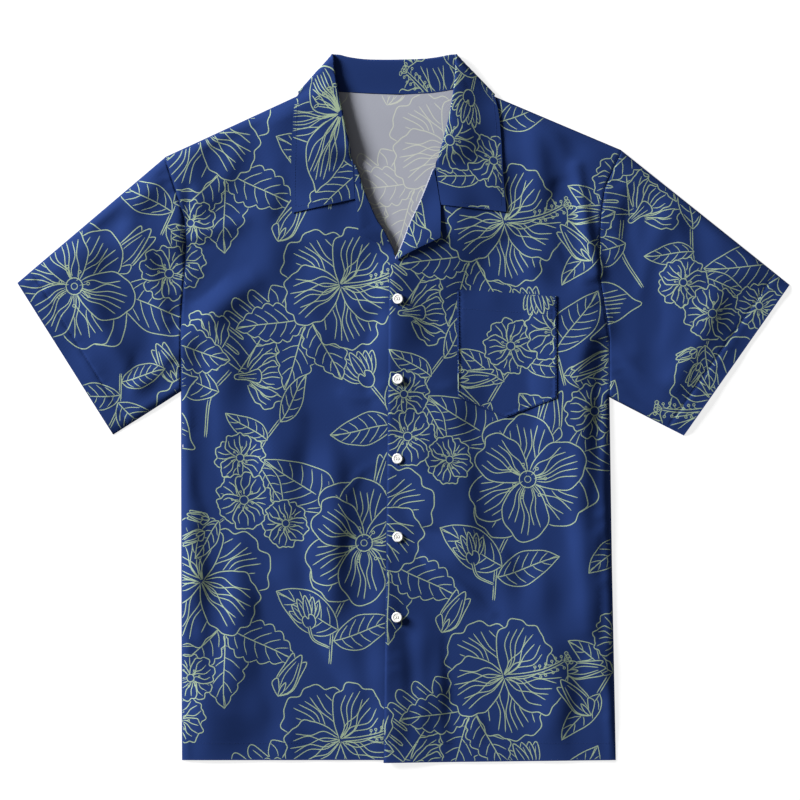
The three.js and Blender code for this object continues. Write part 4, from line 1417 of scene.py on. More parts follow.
def cut_panel(outline: Points, spread: Points, ink: Lines | tuple[()] = (),
              holes: Sequence[Points] = ()) -> CutPanel:
    """Cuts a panel into triangles, with the print's lines cut in.

    Args:
        outline: the panel's outline, anticlockwise.
        spread: points to have inside it.
        ink: printed lines and their widths.
        holes: outlines of holes in it.

    Returns:
        The panel.
    """
    coords = [outline]
    count = len(outline)
    edges = [(k, (k + 1) % count) for k in range(count)]
    hole_numbers = []
    for hole in holes:
        first, size = count, len(hole)
        edges += [(first + k, first + (k + 1) % size) for k in range(size)]
        hole_numbers.append(range(first, first + size))
        coords.append(hole)
        spread = spread[~inside(hole, spread)]
        count += size
    quads: list[tuple[int, int, int, int]] = []
    bands: list[Points] = []
    at = 0
    for points, width in ink:
        if len(points) < 2 or lengths_along(points)[-1] < SHORTEST_LINE:
            continue
        left, right = ribbon(points, width)
        n = len(points)
        bands += [left, right]
        quads += [(at + k, at + n + k, at + n + k + 1, at + k + 1) for k in range(n - 1)]
        at += 2 * n
    tree = None
    if bands:
        corners = np.vstack(bands)
        flat = [(float(x), float(y), 0.0) for x, y in corners]
        tree = BVHTree.FromPolygons(flat, quads, all_triangles=False)
        for a, b, c, d in quads:
            edges += [(count + a, count + d), (count + b, count + c)]
        start = count
        for left in bands[::2]:
            n = len(left)
            edges += [(start, start + n), (start + n - 1, start + 2 * n - 1)]
            start += 2 * n
        coords.append(corners)
    from_outline = nearest_on(np.vstack([outline, outline[:1]]), spread)[0]
    spread = spread[inside(outline, spread) & (from_outline > CLEAR_OF_OUTLINE)]

    def off_ink(places: Points, reach: float) -> np.ndarray:
        """Returns True for each place with no printed line within reach."""
        found = [tree.find_nearest((float(x), float(y), 0.0), reach)[0] for x, y in places]
        return np.array([hit is None for hit in found], bool)

    if tree is not None:
        spread = spread[off_ink(spread, CLEAR_OF_INK)]
    coords.append(spread)
    every = np.vstack(coords)
    result = delaunay_2d_cdt([Vector((float(x), float(y))) for x, y in every], edges, [], 1, 1e-4, True)
    points = np.array([(v[0], v[1]) for v in result[0]], float)
    triangles = np.array([f for f in result[2] if len(f) == 3], int)
    place = {}
    for k, origins in enumerate(result[3]):
        for origin in origins:
            place[origin] = k
    ring_index = np.array([place[k] for k in range(len(outline))], int)
    on_ring = np.isin(triangles, ring_index).sum(axis=1) >= 2
    middles = points[triangles].mean(axis=1)
    kept = np.ones(len(triangles), bool)
    kept[on_ring] = inside(outline, middles[on_ring])
    a, b, c = (points[triangles[:, k]] for k in range(3))
    turn = (b[:, 0] - a[:, 0]) * (c[:, 1] - a[:, 1]) - (b[:, 1] - a[:, 1]) * (c[:, 0] - a[:, 0])
    kept &= ~((np.abs(turn) < SLIVER) & np.isin(triangles, ring_index).all(axis=1))
    triangles[turn < 0] = triangles[turn < 0][:, ::-1]
    for hole in holes:
        kept &= ~inside(hole, middles)
    triangles, middles = triangles[kept], middles[kept]
    inked = np.zeros(len(triangles), bool) if tree is None else ~off_ink(middles, ON_INK)
    rings = [np.array([place[k] for k in numbers], int) for numbers in hole_numbers]
    return CutPanel(points, triangles, inked, ring_index, rings)


def hex_spread(low: Points, high: Points, step: float) -> Points:
    """Returns points spread evenly over a box, in staggered rows."""
    rows = np.arange(low[1], high[1], step * math.sqrt(3) / 2)
    parts = []
    for k, y in enumerate(rows):
        xs = np.arange(low[0] + (step / 2 if k % 2 else 0.0), high[0], step)
        parts.append(np.stack([xs, np.full(len(xs), y)], axis=1))
    return np.vstack(parts)


def beside(curve: Points, offsets: Iterable[float], step: float) -> Points:
    """Returns rows of points on both sides of a curve."""
    fine = evenly(curve, step)
    side = left_of(directions(fine))
    return np.vstack([fine + side * d * s for d in offsets for s in (-1, 1)])


def on_field(level: Level, step: float = 0.35) -> Callable[[Points], tuple[Points, Points]]:
    """Makes the placing function of a surface given by its height.

    Args:
        level: gives the height at flat points.
        step: how far off the slope is measured.

    Returns:
        A function that gives points in space and their upward normals.
    """

    def place(points: Points) -> tuple[Points, Points]:
        """Returns the points in space and their normals."""
        z = level(points)
        dx, dy = np.array([step, 0.0]), np.array([0.0, step])
        slope_x = (level(points + dx) - level(points - dx)) / (2 * step)
        slope_y = (level(points + dy) - level(points - dy)) / (2 * step)
        return np.column_stack([points, z]), unit(np.column_stack([-slope_x, -slope_y, np.ones(len(points))]))

    return place


@dataclass(frozen=True)
class FaceRing:
    """Outline of a face that has been added to a mesh."""

    points: np.ndarray
    straight: bool
    holes: list[np.ndarray] = field(default_factory=list)


@dataclass
class ClothMesh:
    """Faces of one cloth piece while it is put together."""

    points: list[Points] = field(default_factory=list)
    normals: list[Points] = field(default_factory=list)
    flats: list[Points] = field(default_factory=list)
    faces: list[np.ndarray] = field(default_factory=list)
    finishes: list[np.ndarray] = field(default_factory=list)
    count: int = 0

    def add_face(self, panel: CutPanel, place: Place, offset: float, upward: bool,
                 ground: Finish, ink: Finish, tile: float = 0.0) -> FaceRing:
        """Adds one face of a panel.

        Args:
            panel: the flat panel.
            place: gives its middle surface.
            offset: how far the face stands off that, along the normal.
            upward: whether it faces along the normal.
            ground: finish of its plain cloth.
            ink: finish of its printed lines.
            tile: where its flat copy lies in the texture layout, across.

        Returns:
            Its outline.
        """
        at, normal = place(panel.points)
        a, b, c = (at[panel.triangles[:, k]] for k in range(3))
        facing = (np.cross(b - a, c - a) * normal[panel.triangles[:, 0]]).sum()
        self.points.append(at + normal * offset)
        self.normals.append(normal if upward else -normal)
        self.flats.append(panel.points + np.array([tile, 0.0]))
        faces = panel.triangles + self.count
        straight = (facing > 0) == upward
        self.faces += list(faces if straight else faces[:, ::-1])
        self.finishes.append(np.where(panel.inked, ink.value, ground.value))
        ring = FaceRing(panel.outline + self.count, facing > 0,
                        [hole + self.count for hole in panel.holes])
        self.count += len(panel.points)
        return ring

    def add_rim(self, above: FaceRing, below: FaceRing, finish: Finish,
                open_steps: np.ndarray | None = None) -> None:
        """Joins two faces round their outlines, or along the steps given.

        Args:
            above: outline of the face that looks along the normal.
            below: outline of the other face.
            finish: the rim's finish.
            open_steps: True for each step of the outline that is joined; all if left out.
        """
        n = len(above.points)
        for k in range(n):
            if open_steps is not None and not open_steps[k]:
                continue
            m = (k + 1) % n
            if above.points[m] == above.points[k]:
                continue
            quad = np.array([above.points[m], above.points[k], below.points[k], below.points[m]])
            self.faces.append(quad if above.straight else quad[::-1])
            self.finishes.append(np.array([finish.value]))

    def add_walls(self, above: FaceRing, below: FaceRing, finish: Finish) -> None:
        """Joins the holes of two faces."""
        for high, low in zip(above.holes, below.holes):
            for k in range(len(high)):
                m = (k + 1) % len(high)
                quad = np.array([high[k], high[m], low[m], low[k]])
                self.faces.append(quad if above.straight else quad[::-1])
                self.finishes.append(np.array([finish.value]))

    def weld(self, keep: np.ndarray, drop: np.ndarray) -> None:
        """Joins points of one face to points of another at the same places."""
        target = np.arange(self.count)
        target[drop] = keep
        self.faces = [target[f] for f in self.faces]

    def build(self, name: str, materials: Sequence[bpy.types.Material]) -> bpy.types.Object:
        """Makes the object.

        Args:
            name: the object's name.
            materials: one for each finish, in order.

        Returns:
            The new object, in metres.
        """
        points = np.vstack(self.points) * MM
        normals = np.vstack(self.normals)
        flats = np.vstack(self.flats)
        used = np.zeros(len(points), bool)
        for face in self.faces:
            used[face] = True
        new = np.cumsum(used) - 1
        mesh = bpy.data.meshes.new(name)
        mesh.from_pydata(points[used].tolist(), [], [new[f].tolist() for f in self.faces])
        mesh.polygons.foreach_set("material_index", np.concatenate(self.finishes).astype(np.int32))
        mesh.polygons.foreach_set("use_smooth", np.ones(len(self.faces), bool))
        for material in materials:
            mesh.materials.append(material)
        layout = mesh.uv_layers.new(name="OFBake")
        low, high = flats.min(0), flats.max(0)
        scaled = ((flats - low) / (high - low).max() * 0.98 + 0.01)[used]
        corner = np.empty(len(mesh.loops), np.int32)
        mesh.loops.foreach_get("vertex_index", corner)
        layout.data.foreach_set("uv", scaled[corner].astype(np.float32).ravel())
        mesh.validate(clean_customdata=False)
        mesh.normals_split_custom_set_from_vertices(normals[used].tolist())
        return new_object(name, mesh)


# Finishes


class Nodes:
    """Short hand for building a node tree."""

    def __init__(self, tree: bpy.types.NodeTree) -> None:
        """Keeps the tree that it adds to."""
        self.tree = tree

    def add(self, kind: str, inputs: dict[str | int, object] | None = None,
            **settings: object) -> bpy.types.Node:
        """Adds a node.

        Args:
            kind: the node's type name.
            inputs: values, or sockets to link, by input name or number.
            **settings: the node's own properties.

        Returns:
            The node.
        """
        node = self.tree.nodes.new(kind)
        for key, value in settings.items():
            setattr(node, key, value)
        for key, value in (inputs or {}).items():
            socket = node.inputs[key]
            if isinstance(value, bpy.types.NodeSocket):
                self.tree.links.new(value, socket)
            else:
                socket.default_value = value
        return node

    def math(self, operation: str, a: float | bpy.types.NodeSocket,
             b: float | bpy.types.NodeSocket = 0.0) -> bpy.types.NodeSocket:
        """Returns the result of a math node."""
        return self.add("ShaderNodeMath", {0: a, 1: b}, operation=operation).outputs[0]


def plain_weave_group() -> bpy.types.ShaderNodeTree:
    """Returns the node group of a plain weave: thread height and a soft unevenness of tone."""
    group = bpy.data.node_groups.new("PlainWeave", "ShaderNodeTree")
    face = group.interface
    face.new_socket("Threads", in_out="INPUT", socket_type="NodeSocketFloat").default_value = 1400.0
    face.new_socket("Unevenness", in_out="INPUT", socket_type="NodeSocketFloat").default_value = 0.1
    face.new_socket("Height", in_out="OUTPUT", socket_type="NodeSocketFloat")
    face.new_socket("Tone", in_out="OUTPUT", socket_type="NodeSocketFloat")
    n = Nodes(group)
    given = n.add("NodeGroupInput")
    made = n.add("NodeGroupOutput")
    place = n.add("ShaderNodeTexCoord").outputs["Object"]
    slub = n.add("ShaderNodeTexNoise", {"Vector": place, "Scale": 90.0, "Detail": 3.0, "Roughness": 0.6})
    shift = n.add("ShaderNodeVectorMath", {0: slub.outputs["Color"], 1: (0.5, 0.5, 0.5)},
                  operation="SUBTRACT")
    small = n.add("ShaderNodeVectorMath", {0: shift.outputs[0], "Scale": 0.0012}, operation="SCALE")
    moved = n.add("ShaderNodeVectorMath", {0: place, 1: small.outputs[0]}, operation="ADD")
    split = n.add("ShaderNodeSeparateXYZ", {0: moved.outputs[0]})
    warp = n.math("SINE", n.math("MULTIPLY", split.outputs["X"], given.outputs["Threads"]))
    weft = n.math("SINE", n.math("MULTIPLY", split.outputs["Y"], given.outputs["Threads"]))
    height = n.math("ADD", n.math("MULTIPLY", n.math("MULTIPLY", warp, weft), 0.5), 0.5)
    broad = n.add("ShaderNodeTexNoise", {"Vector": place, "Scale": 14.0, "Detail": 4.0, "Roughness": 0.55})
    fine = n.add("ShaderNodeTexNoise", {"Vector": place, "Scale": 700.0, "Detail": 2.0})
    sway = n.math("SUBTRACT", n.math("ADD", n.math("MULTIPLY", broad.outputs["Fac"], 0.6),
                                     n.math("MULTIPLY", fine.outputs["Fac"], 0.4)), 0.5)
    tone = n.math("ADD", 1.0, n.math("MULTIPLY", sway, given.outputs["Unevenness"]))
    group.links.new(height, made.inputs["Height"])
    group.links.new(tone, made.inputs["Tone"])
    return group


def new_material(name: str, inputs: dict[str, object]) -> tuple[bpy.types.Material, bpy.types.Node]:
    """Returns a new material and its shader, with the shader's inputs given."""
    material = bpy.data.materials.new(name)
    material.use_nodes = True
    shader = material.node_tree.nodes["Principled BSDF"]
    for key, value in inputs.items():
        shader.inputs[key].default_value = value
    return material, shader


@dataclass(frozen=True)
class WovenFinish:
    """A woven cloth face: its colour and how it takes the light."""

    name: str
    colour: tuple[float, float, float]
    roughness: float = 0.82
    sheen: float = 0.01
    unevenness: float = 0.22
    bump: float = 0.25
    specular: float = 0.03

    def material(self, weave: bpy.types.ShaderNodeTree) -> bpy.types.Material:
        """Returns the material, made with the weave's node group."""
        material, shader = new_material(self.name, {
            "Roughness": self.roughness, "Sheen Weight": self.sheen, "Sheen Roughness": 0.45,
            "Specular IOR Level": self.specular})
        n = Nodes(material.node_tree)
        threads = n.add("ShaderNodeGroup", {}, node_tree=weave)
        threads.inputs["Unevenness"].default_value = self.unevenness
        colour = n.add("ShaderNodeVectorMath", {0: self.colour, "Scale": threads.outputs["Tone"]},
                       operation="SCALE")
        material.node_tree.links.new(colour.outputs[0], shader.inputs["Base Color"])
        bump = n.add("ShaderNodeBump", {"Strength": self.bump, "Distance": 0.0001,
                                        "Height": threads.outputs["Height"]})
        material.node_tree.links.new(bump.outputs["Normal"], shader.inputs["Normal"])
        return material


@dataclass(frozen=True)
class PlasticFinish:
    """Polished button plastic with a faint cloudiness."""

    name: str = "button_plastic"
    colour: tuple[float, float, float] = (0.93, 0.925, 0.90)
    roughness: float = 0.22

    def material(self) -> bpy.types.Material:
        """Returns the material."""
        material, shader = new_material(self.name, {"Roughness": self.roughness, "Coat Weight": 0.3})
        n = Nodes(material.node_tree)
        place = n.add("ShaderNodeTexCoord").outputs["Object"]
        cloud = n.add("ShaderNodeTexNoise", {"Vector": place, "Scale": 320.0, "Detail": 3.0})
        ramp = n.add("ShaderNodeMapRange", {"Value": cloud.outputs["Fac"], "To Min": 0.94, "To Max": 1.04})
        colour = n.add("ShaderNodeVectorMath", {0: self.colour, "Scale": ramp.outputs[0]}, operation="SCALE")
        material.node_tree.links.new(colour.outputs[0], shader.inputs["Base Color"])
        return material


@dataclass
class Cupboard:
    """All finishes, made once."""

    ground: WovenFinish = WovenFinish("printed_ground", (0.0135, 0.0316, 0.1235))
    ink: WovenFinish = WovenFinish("print_lines", (0.285, 0.37, 0.25), unevenness=0.3)
    reverse: WovenFinish = WovenFinish("cloth_reverse", (0.315, 0.325, 0.375), unevenness=0.12)
    reverse_ink: WovenFinish = WovenFinish("reverse_lines", (0.47, 0.49, 0.43), unevenness=0.12)
    plastic: PlasticFinish = PlasticFinish()
    navy_thread: WovenFinish = WovenFinish("navy_thread", (0.012, 0.032, 0.135), 0.7, 0.1, 0.1, 0.1)
    white_thread: WovenFinish = WovenFinish("white_thread", (0.70, 0.69, 0.66), 0.7, 0.1, 0.1, 0.1)

    def cloth(self) -> list[bpy.types.Material]:
        """Returns the cloth's materials in the order of the finishes."""
        weave = plain_weave_group()
        return [f.material(weave) for f in (self.ground, self.ink, self.reverse, self.reverse_ink)]

    def threads(self) -> tuple[bpy.types.Material, bpy.types.Material]:
        """Returns the navy and the white sewing thread."""
        weave = bpy.data.node_groups["PlainWeave"]
        return self.navy_thread.material(weave), self.white_thread.material(weave)


# Sub-assemblies


Pair = tuple[Finish, Finish]
PRINTED: Pair = (Finish.GROUND, Finish.INK)
LINED: Pair = (Finish.REVERSE, Finish.REVERSE_INK)


@dataclass
class Workshop:
    """What every sub-assembly works with, and how all of them put a piece in the frame."""

    form: ShirtForm
    printed: PrintedLength
    cloth: list[bpy.types.Material]
    rows: list[tuple[Place, Points]] = field(default_factory=list)

    def keep(self, piece: bpy.types.Object, node: str | None, slot: Slot) -> None:
        """Puts a finished piece in the frame.

        Args:
            piece: the piece.
            node: the solid that it replaces, if any.
            slot: the record's material that it takes after; not used.
        """
        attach(piece, "root")
        if node:
            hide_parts(node)
        LOG.info("%s: %d faces", piece.name, len(piece.data.polygons))

    def spread_off_edges(self, outline: Points, step: float) -> Points:
        """Returns points spread over an outline's box, clear of the rows beside the closed edges."""
        spread = hex_spread(outline.min(0), outline.max(0), step)
        return spread[self.form.edge_distance(spread) > self.form.edge_width + CLEAR_OF_ROWS]

    def printed_pair(self, outline: Points, spread: Points, shift: tuple[float, float], angle: float = 0.0,
                     **limits: float) -> tuple[CutPanel, CutPanel]:
        """Cuts the two faces of one pattern piece.

        Args:
            outline: the piece's outline, anticlockwise.
            spread: points to have inside it.
            shift: how the print is moved under it.
            angle: degrees that the print is turned by.
            **limits: how close to the outline, and in how long steps, its lines run.

        Returns:
            The printed face and the plain one.
        """
        ink = self.printed.within(outline, shift, angle, **limits)
        return cut_panel(outline, spread, ink), cut_panel(outline, spread)

    def two_faced(self, node: str, place: Place, panels: tuple[CutPanel, CutPanel],
                  finishes: tuple[Pair, Pair], tile: float, pale: np.ndarray | None = None
                  ) -> bpy.types.Object:
        """Builds a cloth piece of two faces that are joined round their outlines.

        Args:
            node: the solid that it replaces.
            place: gives its middle surface.
            panels: the face along the normal, then the other one.
            finishes: plain cloth and lines of each face.
            tile: where the second face lies in the texture layout, across.
            pale: marks triangles of the first face that show the cloth's reverse.

        Returns:
            The piece.
        """
        mesh, half_cloth = ClothMesh(), self.form.cloth / 2
        above = mesh.add_face(panels[0], place, half_cloth, True, *finishes[0])
        if pale is not None:
            mesh.finishes[-1][pale] = Finish.REVERSE.value
        below = mesh.add_face(panels[1], place, -half_cloth, False, *finishes[1], tile=tile)
        mesh.add_rim(above, below, Finish.GROUND)
        piece = mesh.build(f"{node}_cloth", self.cloth)
        self.keep(piece, node, Slot.CLOTH)
        return piece

    def declare(self, piece: bpy.types.Object, outline: Points, held: str, rests_on: list[str],
                least_share: float = 0.0) -> None:
        """Takes a sheet of cloth and its flat outline, and does nothing with them.

        Args:
            piece: the sheet; not used.
            outline: its flat outline; not used.
            held: how it is held; not used.
            rests_on: what it rests on; not used.
            least_share: the least share of its flat box that it is said to fill; not used.
        """


EDGE_ROWS = (0.5, 1.7, 3.4, 5.6, 8.2, 11.0)
SEAM_ROWS = (0.6, 1.6, 3.2)
HEM_ROWS = (0.01, 1.3, 2.8)
EDGE_ROW_STEP = 4.2
SEAM_ROW_STEP = 3.2
HEM_ROW_STEP = 3.6
CLEAR_OF_ROWS = 1.5
FRONT_PRINT = {Side.RIGHT: (-120.0, -40.0), Side.LEFT: (60.0, 30.0)}
SLEEVE_PRINT = {Side.RIGHT: (-40.0, 20.0), Side.LEFT: (30.0, -60.0)}
FACING_PRINT = {Side.RIGHT: (30.0, 80.0), Side.LEFT: (110.0, -30.0)}
HEM_ROW_ENDS = {Side.RIGHT: (-240.0, 4.0), Side.LEFT: (-18.0, 229.0)}


@dataclass
class Body:
    """Back and both fronts."""

    shop: Workshop
    step: float = 4.4
    back_step: float = 7.0
    outline_step: float = 3.6
    roll_inset: float = 1.25
    shows_above: float = 130.0
    shows_within: float = 75.0
    hem_row: float = -368.5

    def outline_of_front(self, side: Side) -> Points:
        """Returns one front's outline, anticlockwise."""
        half = side.half
        roll = half.roll + left_of(directions(half.roll)) * self.roll_inset * -side.value
        up = np.vstack([half.side, half.armhole_curve()[1:]])
        down = np.vstack([half.neck[::-1], roll[::-1], half.placket[::-1]])
        return stepped_loop(np.vstack([up, half.shoulder[1:-1], down]), self.outline_step)

    def build_front(self, side: Side) -> None:
        """Builds one front panel."""
        half, form = side.half, self.shop.form
        outline = self.outline_of_front(side)
        spread = self.shop.spread_off_edges(outline, self.step)
        rows = [beside(edge, EDGE_ROWS, EDGE_ROW_STEP) for edge in (half.side, half.shoulder)]
        rows += [beside(edge, SEAM_ROWS, SEAM_ROW_STEP) for edge in (half.armhole, half.placket[:3])]
        spread = np.vstack([spread] + rows)
        panels = self.shop.printed_pair(outline, spread, FRONT_PRINT[side])
        place = on_field(form.front_of(side))
        self.shop.rows.append((place, table(*((x, self.hem_row) for x in HEM_ROW_ENDS[side]))))
        piece = self.shop.two_faced(f"front_{side.word}", place, panels, (PRINTED, LINED), 280.0)
        self.shop.declare(piece, outline, "laid", ["back_cloth"])

    def build_back(self) -> None:
        """Builds the back panel, its printed face down."""
        right, left = RIGHT_HALF, LEFT_HALF
        up = [right.side, right.armhole_curve()[1:], right.shoulder[1:], BACK_NECK[1:]]
        down = [left.shoulder[::-1][1:], left.armhole_curve()[::-1][1:], left.side[::-1][1:]]
        outline = stepped_loop(np.vstack(up + down), self.outline_step)
        spread = hex_spread(outline.min(0), outline.max(0), self.back_step)
        ink = self.shop.printed.within(outline, (0.0, 110.0))
        printed = cut_panel(outline, spread, ink)
        showing = [(line, width) for line, width in ink
                   if line[:, 1].max() > self.shows_above and np.abs(line[:, 0]).min() < self.shows_within]
        panels = (cut_panel(outline, spread, showing), printed)
        piece = self.shop.two_faced("back", on_field(self.shop.form.back), panels, (LINED, PRINTED), 520.0)
        self.shop.declare(piece, outline, "laid", [])


@dataclass
class Sleeve:
    """One sleeve: a flattened tube, open at the armhole and at its hem."""

    shop: Workshop
    side: Side
    step: float = 4.6
    under_step: float = 8.0
    outline_step: float = 3.6
    seam_overlap: float = 0.6
    seam_tuck: float = 0.8
    under_tuck: float = 0.55
    tuck_width: float = 1.1
    tuck_run: float = 8.0
    closing: float = 0.225
    closing_width: float = 3.0
    print_angle: float = 38.0

    def tucked(self, points: Points) -> np.ndarray:
        """Returns 1 at the armhole, where the sleeve's edge is sewn under the body's, and 0 away from it."""
        away = nearest_on(self.side.half.armhole, points)[0]
        inner = smooth_step(self.shop.form.edge_distance(points) / self.tuck_run)
        return np.exp(-((away / self.tuck_width) ** 2)) * inner

    def top(self, points: Points) -> np.ndarray:
        """Returns the top layer's level: tucked under the front's edge at the armhole."""
        return self.shop.form.top(points) - self.seam_tuck * self.tucked(points)

    def under(self, points: Points) -> np.ndarray:
        """Returns the under layer's level: on the table, up to the closed edges."""
        distance = np.maximum(self.shop.form.edge_distance(points), 0.0)
        closing = self.closing * (1.0 - smooth_step(distance / self.closing_width))
        return self.shop.form.back_rest + closing + self.under_tuck * self.tucked(points)

    def armhole(self) -> Points:
        """Returns the sleeve's edge at the armhole, a little under the body's."""
        return self.side.half.armhole_curve()[::-1] + np.array([-self.seam_overlap * self.side.value, 0.0])

    def outline(self) -> tuple[Points, np.ndarray]:
        """Works out the sleeve's flat outline.

        Returns:
            The outline, anticlockwise, and True for each of its steps where the two layers are joined.
        """
        half = self.side.half
        away = np.array([-self.seam_overlap * self.side.value, 0.0])
        under, top = half.sleeve_under + away * [[1], [0]], half.sleeve_top[::-1] + away * [[0], [1]]
        parts, steps = [], []
        for edge, closed in ((self.armhole(), False), (under, True), (half.sleeve_hem(), False), (top, True)):
            fine = evenly(edge, self.outline_step)[:-1]
            parts.append(fine)
            steps += [closed] * len(fine)
        outline, closed_step = np.vstack(parts), np.array(steps, bool)
        if area_of(outline) < 0:
            return outline[::-1], np.roll(closed_step[::-1], -1)
        return outline, closed_step

    def hem_row(self) -> Points:
        """Returns the line that the hem is stitched along."""
        hem = self.side.half.sleeve_hem()
        inwards = directions(hem) @ np.array([[0.0, 1.0], [-1.0, 0.0]])
        if inwards[0, 0] * self.side.value > 0:
            inwards = -inwards
        return hem + inwards * self.shop.form.hem_turn

    def build(self) -> None:
        """Builds the sleeve's top and under layers and joins them along both closed edges."""
        half, form = self.side.half, self.shop.form
        outline, closed_step = self.outline()
        row = self.hem_row()
        rows = [beside(edge, EDGE_ROWS, EDGE_ROW_STEP) for edge in (half.sleeve_top, half.sleeve_under)]
        rows += [beside(self.armhole(), SEAM_ROWS, SEAM_ROW_STEP), beside(row, HEM_ROWS, HEM_ROW_STEP)]
        spread = np.vstack([self.shop.spread_off_edges(outline, self.step)] + rows)
        loose = hex_spread(outline.min(0), outline.max(0), self.under_step)
        shift = SLEEVE_PRINT[self.side]
        half_cloth = form.cloth / 2
        places = on_field(self.top), on_field(self.under)
        mesh = ClothMesh()
        faces = []
        for layer, (place, points, moved) in enumerate(zip(places, (spread, loose), (shift, shift[::-1]))):
            ink = self.shop.printed.within(outline, moved, self.print_angle * self.side.value)
            out = half_cloth * (1 - 2 * layer)
            outer = mesh.add_face(cut_panel(outline, points, ink), place, out, layer == 0, *PRINTED,
                                  tile=460.0 * layer)
            inner = mesh.add_face(cut_panel(outline, points), place, -out, layer == 1, *LINED,
                                  tile=230.0 + 460.0 * layer)
            faces.append((outer, inner))
        (top_outer, top_inner), (under_outer, under_inner) = faces
        mesh.add_rim(top_outer, top_inner, Finish.GROUND, ~closed_step)
        mesh.add_rim(under_inner, under_outer, Finish.GROUND, ~closed_step)
        joined = closed_step | np.roll(closed_step, 1)
        mesh.weld(top_outer.points[joined], under_outer.points[joined])
        mesh.weld(top_inner.points[joined], under_inner.points[joined])
        self.shop.rows.append((places[0], at_fraction(row, np.array([0.04, 0.96]))))
        name = f"sleeve_{self.side.word}"
        piece = mesh.build(f"{name}_cloth", self.shop.cloth)
        self.shop.keep(piece, name, Slot.CLOTH)


@dataclass
class Lapel:
    """One facing where it is turned back as a lapel: rolled over the front's edge."""

    shop: Workshop
    side: Side
    roll_radius: float = 0.95
    past_turn: float = 0.2
    rest: float = 1.9
    step: float = 3.4
    pale_below: float = -0.3
    edge_lift: float = 2.8
    lift_run: float = 0.78
    span: tuple[float, float] = (0.03, 0.985)
    print_angle: float = 62.0
    least_share: float = 0.31
    least_width: float = 0.8
    past_edge: float = 3.0
    clear_of_roll: float = 1.6
    roll_rows: tuple[float, ...] = (0.0, 0.16, 0.33, 0.5, 0.66, 0.83)
    station: float = 3.0
    end_step: float = 1.2
    roll: Points = field(init=False)
    length: float = field(init=False)

    def __post_init__(self) -> None:
        """Works out the roll line and its length."""
        self.roll = spline(self.side.half.roll, 3.0)
        self.length = lengths_along(self.roll)[-1]

    def ends(self, q: np.ndarray) -> tuple[Points, Points]:
        """Returns the points on the roll line and on the lapel's edge, at lengths along the roll line."""
        f = q / self.length
        return at_fraction(self.roll, f), at_fraction(self.side.half.lapel, f)

    def at(self, flat: Points) -> Points:
        """Places on the facing.

        Args:
            flat: lengths along the roll line and away from it, less than 0 under the roll.

        Returns:
            Points in space.
        """
        q, s, r = flat[:, 0], flat[:, 1], self.roll_radius
        start, end = self.ends(q)
        far = np.maximum(np.linalg.norm(end - start, axis=1), 1e-6)
        way = (end - start) / far[:, None]
        turn = np.clip(-s / r, 0.0, math.pi + self.past_turn)
        inward = np.where(s >= 0, s, 0.0) + r - r * np.sin(turn)
        ground = self.shop.form.front_of(self.side)(start + way * np.maximum(inward, 0.0)[:, None])
        bow = np.sin(np.pi * np.clip(q / self.length / self.lift_run, 0.0, 1.0))
        lift = self.edge_lift * bow * smooth_step(inward / far)
        z = ground + self.rest - r + r * np.cos(turn) + np.where(s > 0, lift, 0.0)
        return np.column_stack([start + way * np.minimum(inward, far + self.past_edge)[:, None], z])

    def sheet(self, points: Points) -> tuple[Points, Points]:
        """Returns places on the facing, and normals on one side of it."""
        e = 0.3
        along = self.at(points + [[e, 0.0]]) - self.at(points - [[e, 0.0]])
        out = self.at(points + [[0.0, e]]) - self.at(points - [[0.0, e]])
        return self.at(points), unit(np.cross(along, out))

    def build(self) -> None:
        """Builds the facing from under the roll line to the lapel's outer edge."""
        upward = math.copysign(1.0, self.sheet(np.array([[self.length / 2, 3.0]]))[1][0, 2])

        def place(points: Points) -> tuple[Points, Points]:
            """Returns places on the facing, and normals on its face."""
            here, normal = self.sheet(points)
            return here, normal * upward

        first, last = self.span[0] * self.length, self.span[1] * self.length
        wrap = math.pi * self.roll_radius
        q = np.linspace(first, last, int((last - first) / self.station))
        start, end = self.ends(q)
        far = np.maximum(np.linalg.norm(end - start, axis=1) - self.roll_radius, self.least_width)
        rolled_edge, free_edge = np.column_stack([q, np.full(len(q), -wrap)]), np.column_stack([q, far])
        outline = strip_outline(rolled_edge, free_edge, self.station, self.end_step)
        spread = hex_spread(outline.min(0), outline.max(0), self.step)
        rows = [np.column_stack([q, np.full(len(q), -wrap * t)]) for t in self.roll_rows]
        spread = np.vstack([spread[spread[:, 1] > self.clear_of_roll]] + rows)
        panels = self.shop.printed_pair(outline, spread, FACING_PRINT[self.side],
                                        self.print_angle * self.side.value, margin=0.7, longest=0.75)
        pale = None
        if self.side is Side.LEFT:
            pale = panels[0].points[panels[0].triangles].mean(axis=1)[:, 1] < self.pale_below
        piece = self.shop.two_faced(f"facing_{self.side.word}", place, panels, (PRINTED, LINED), 0.0, pale)
        self.shop.declare(piece, outline, "folded", [f"front_{self.side.word}_cloth"], self.least_share)


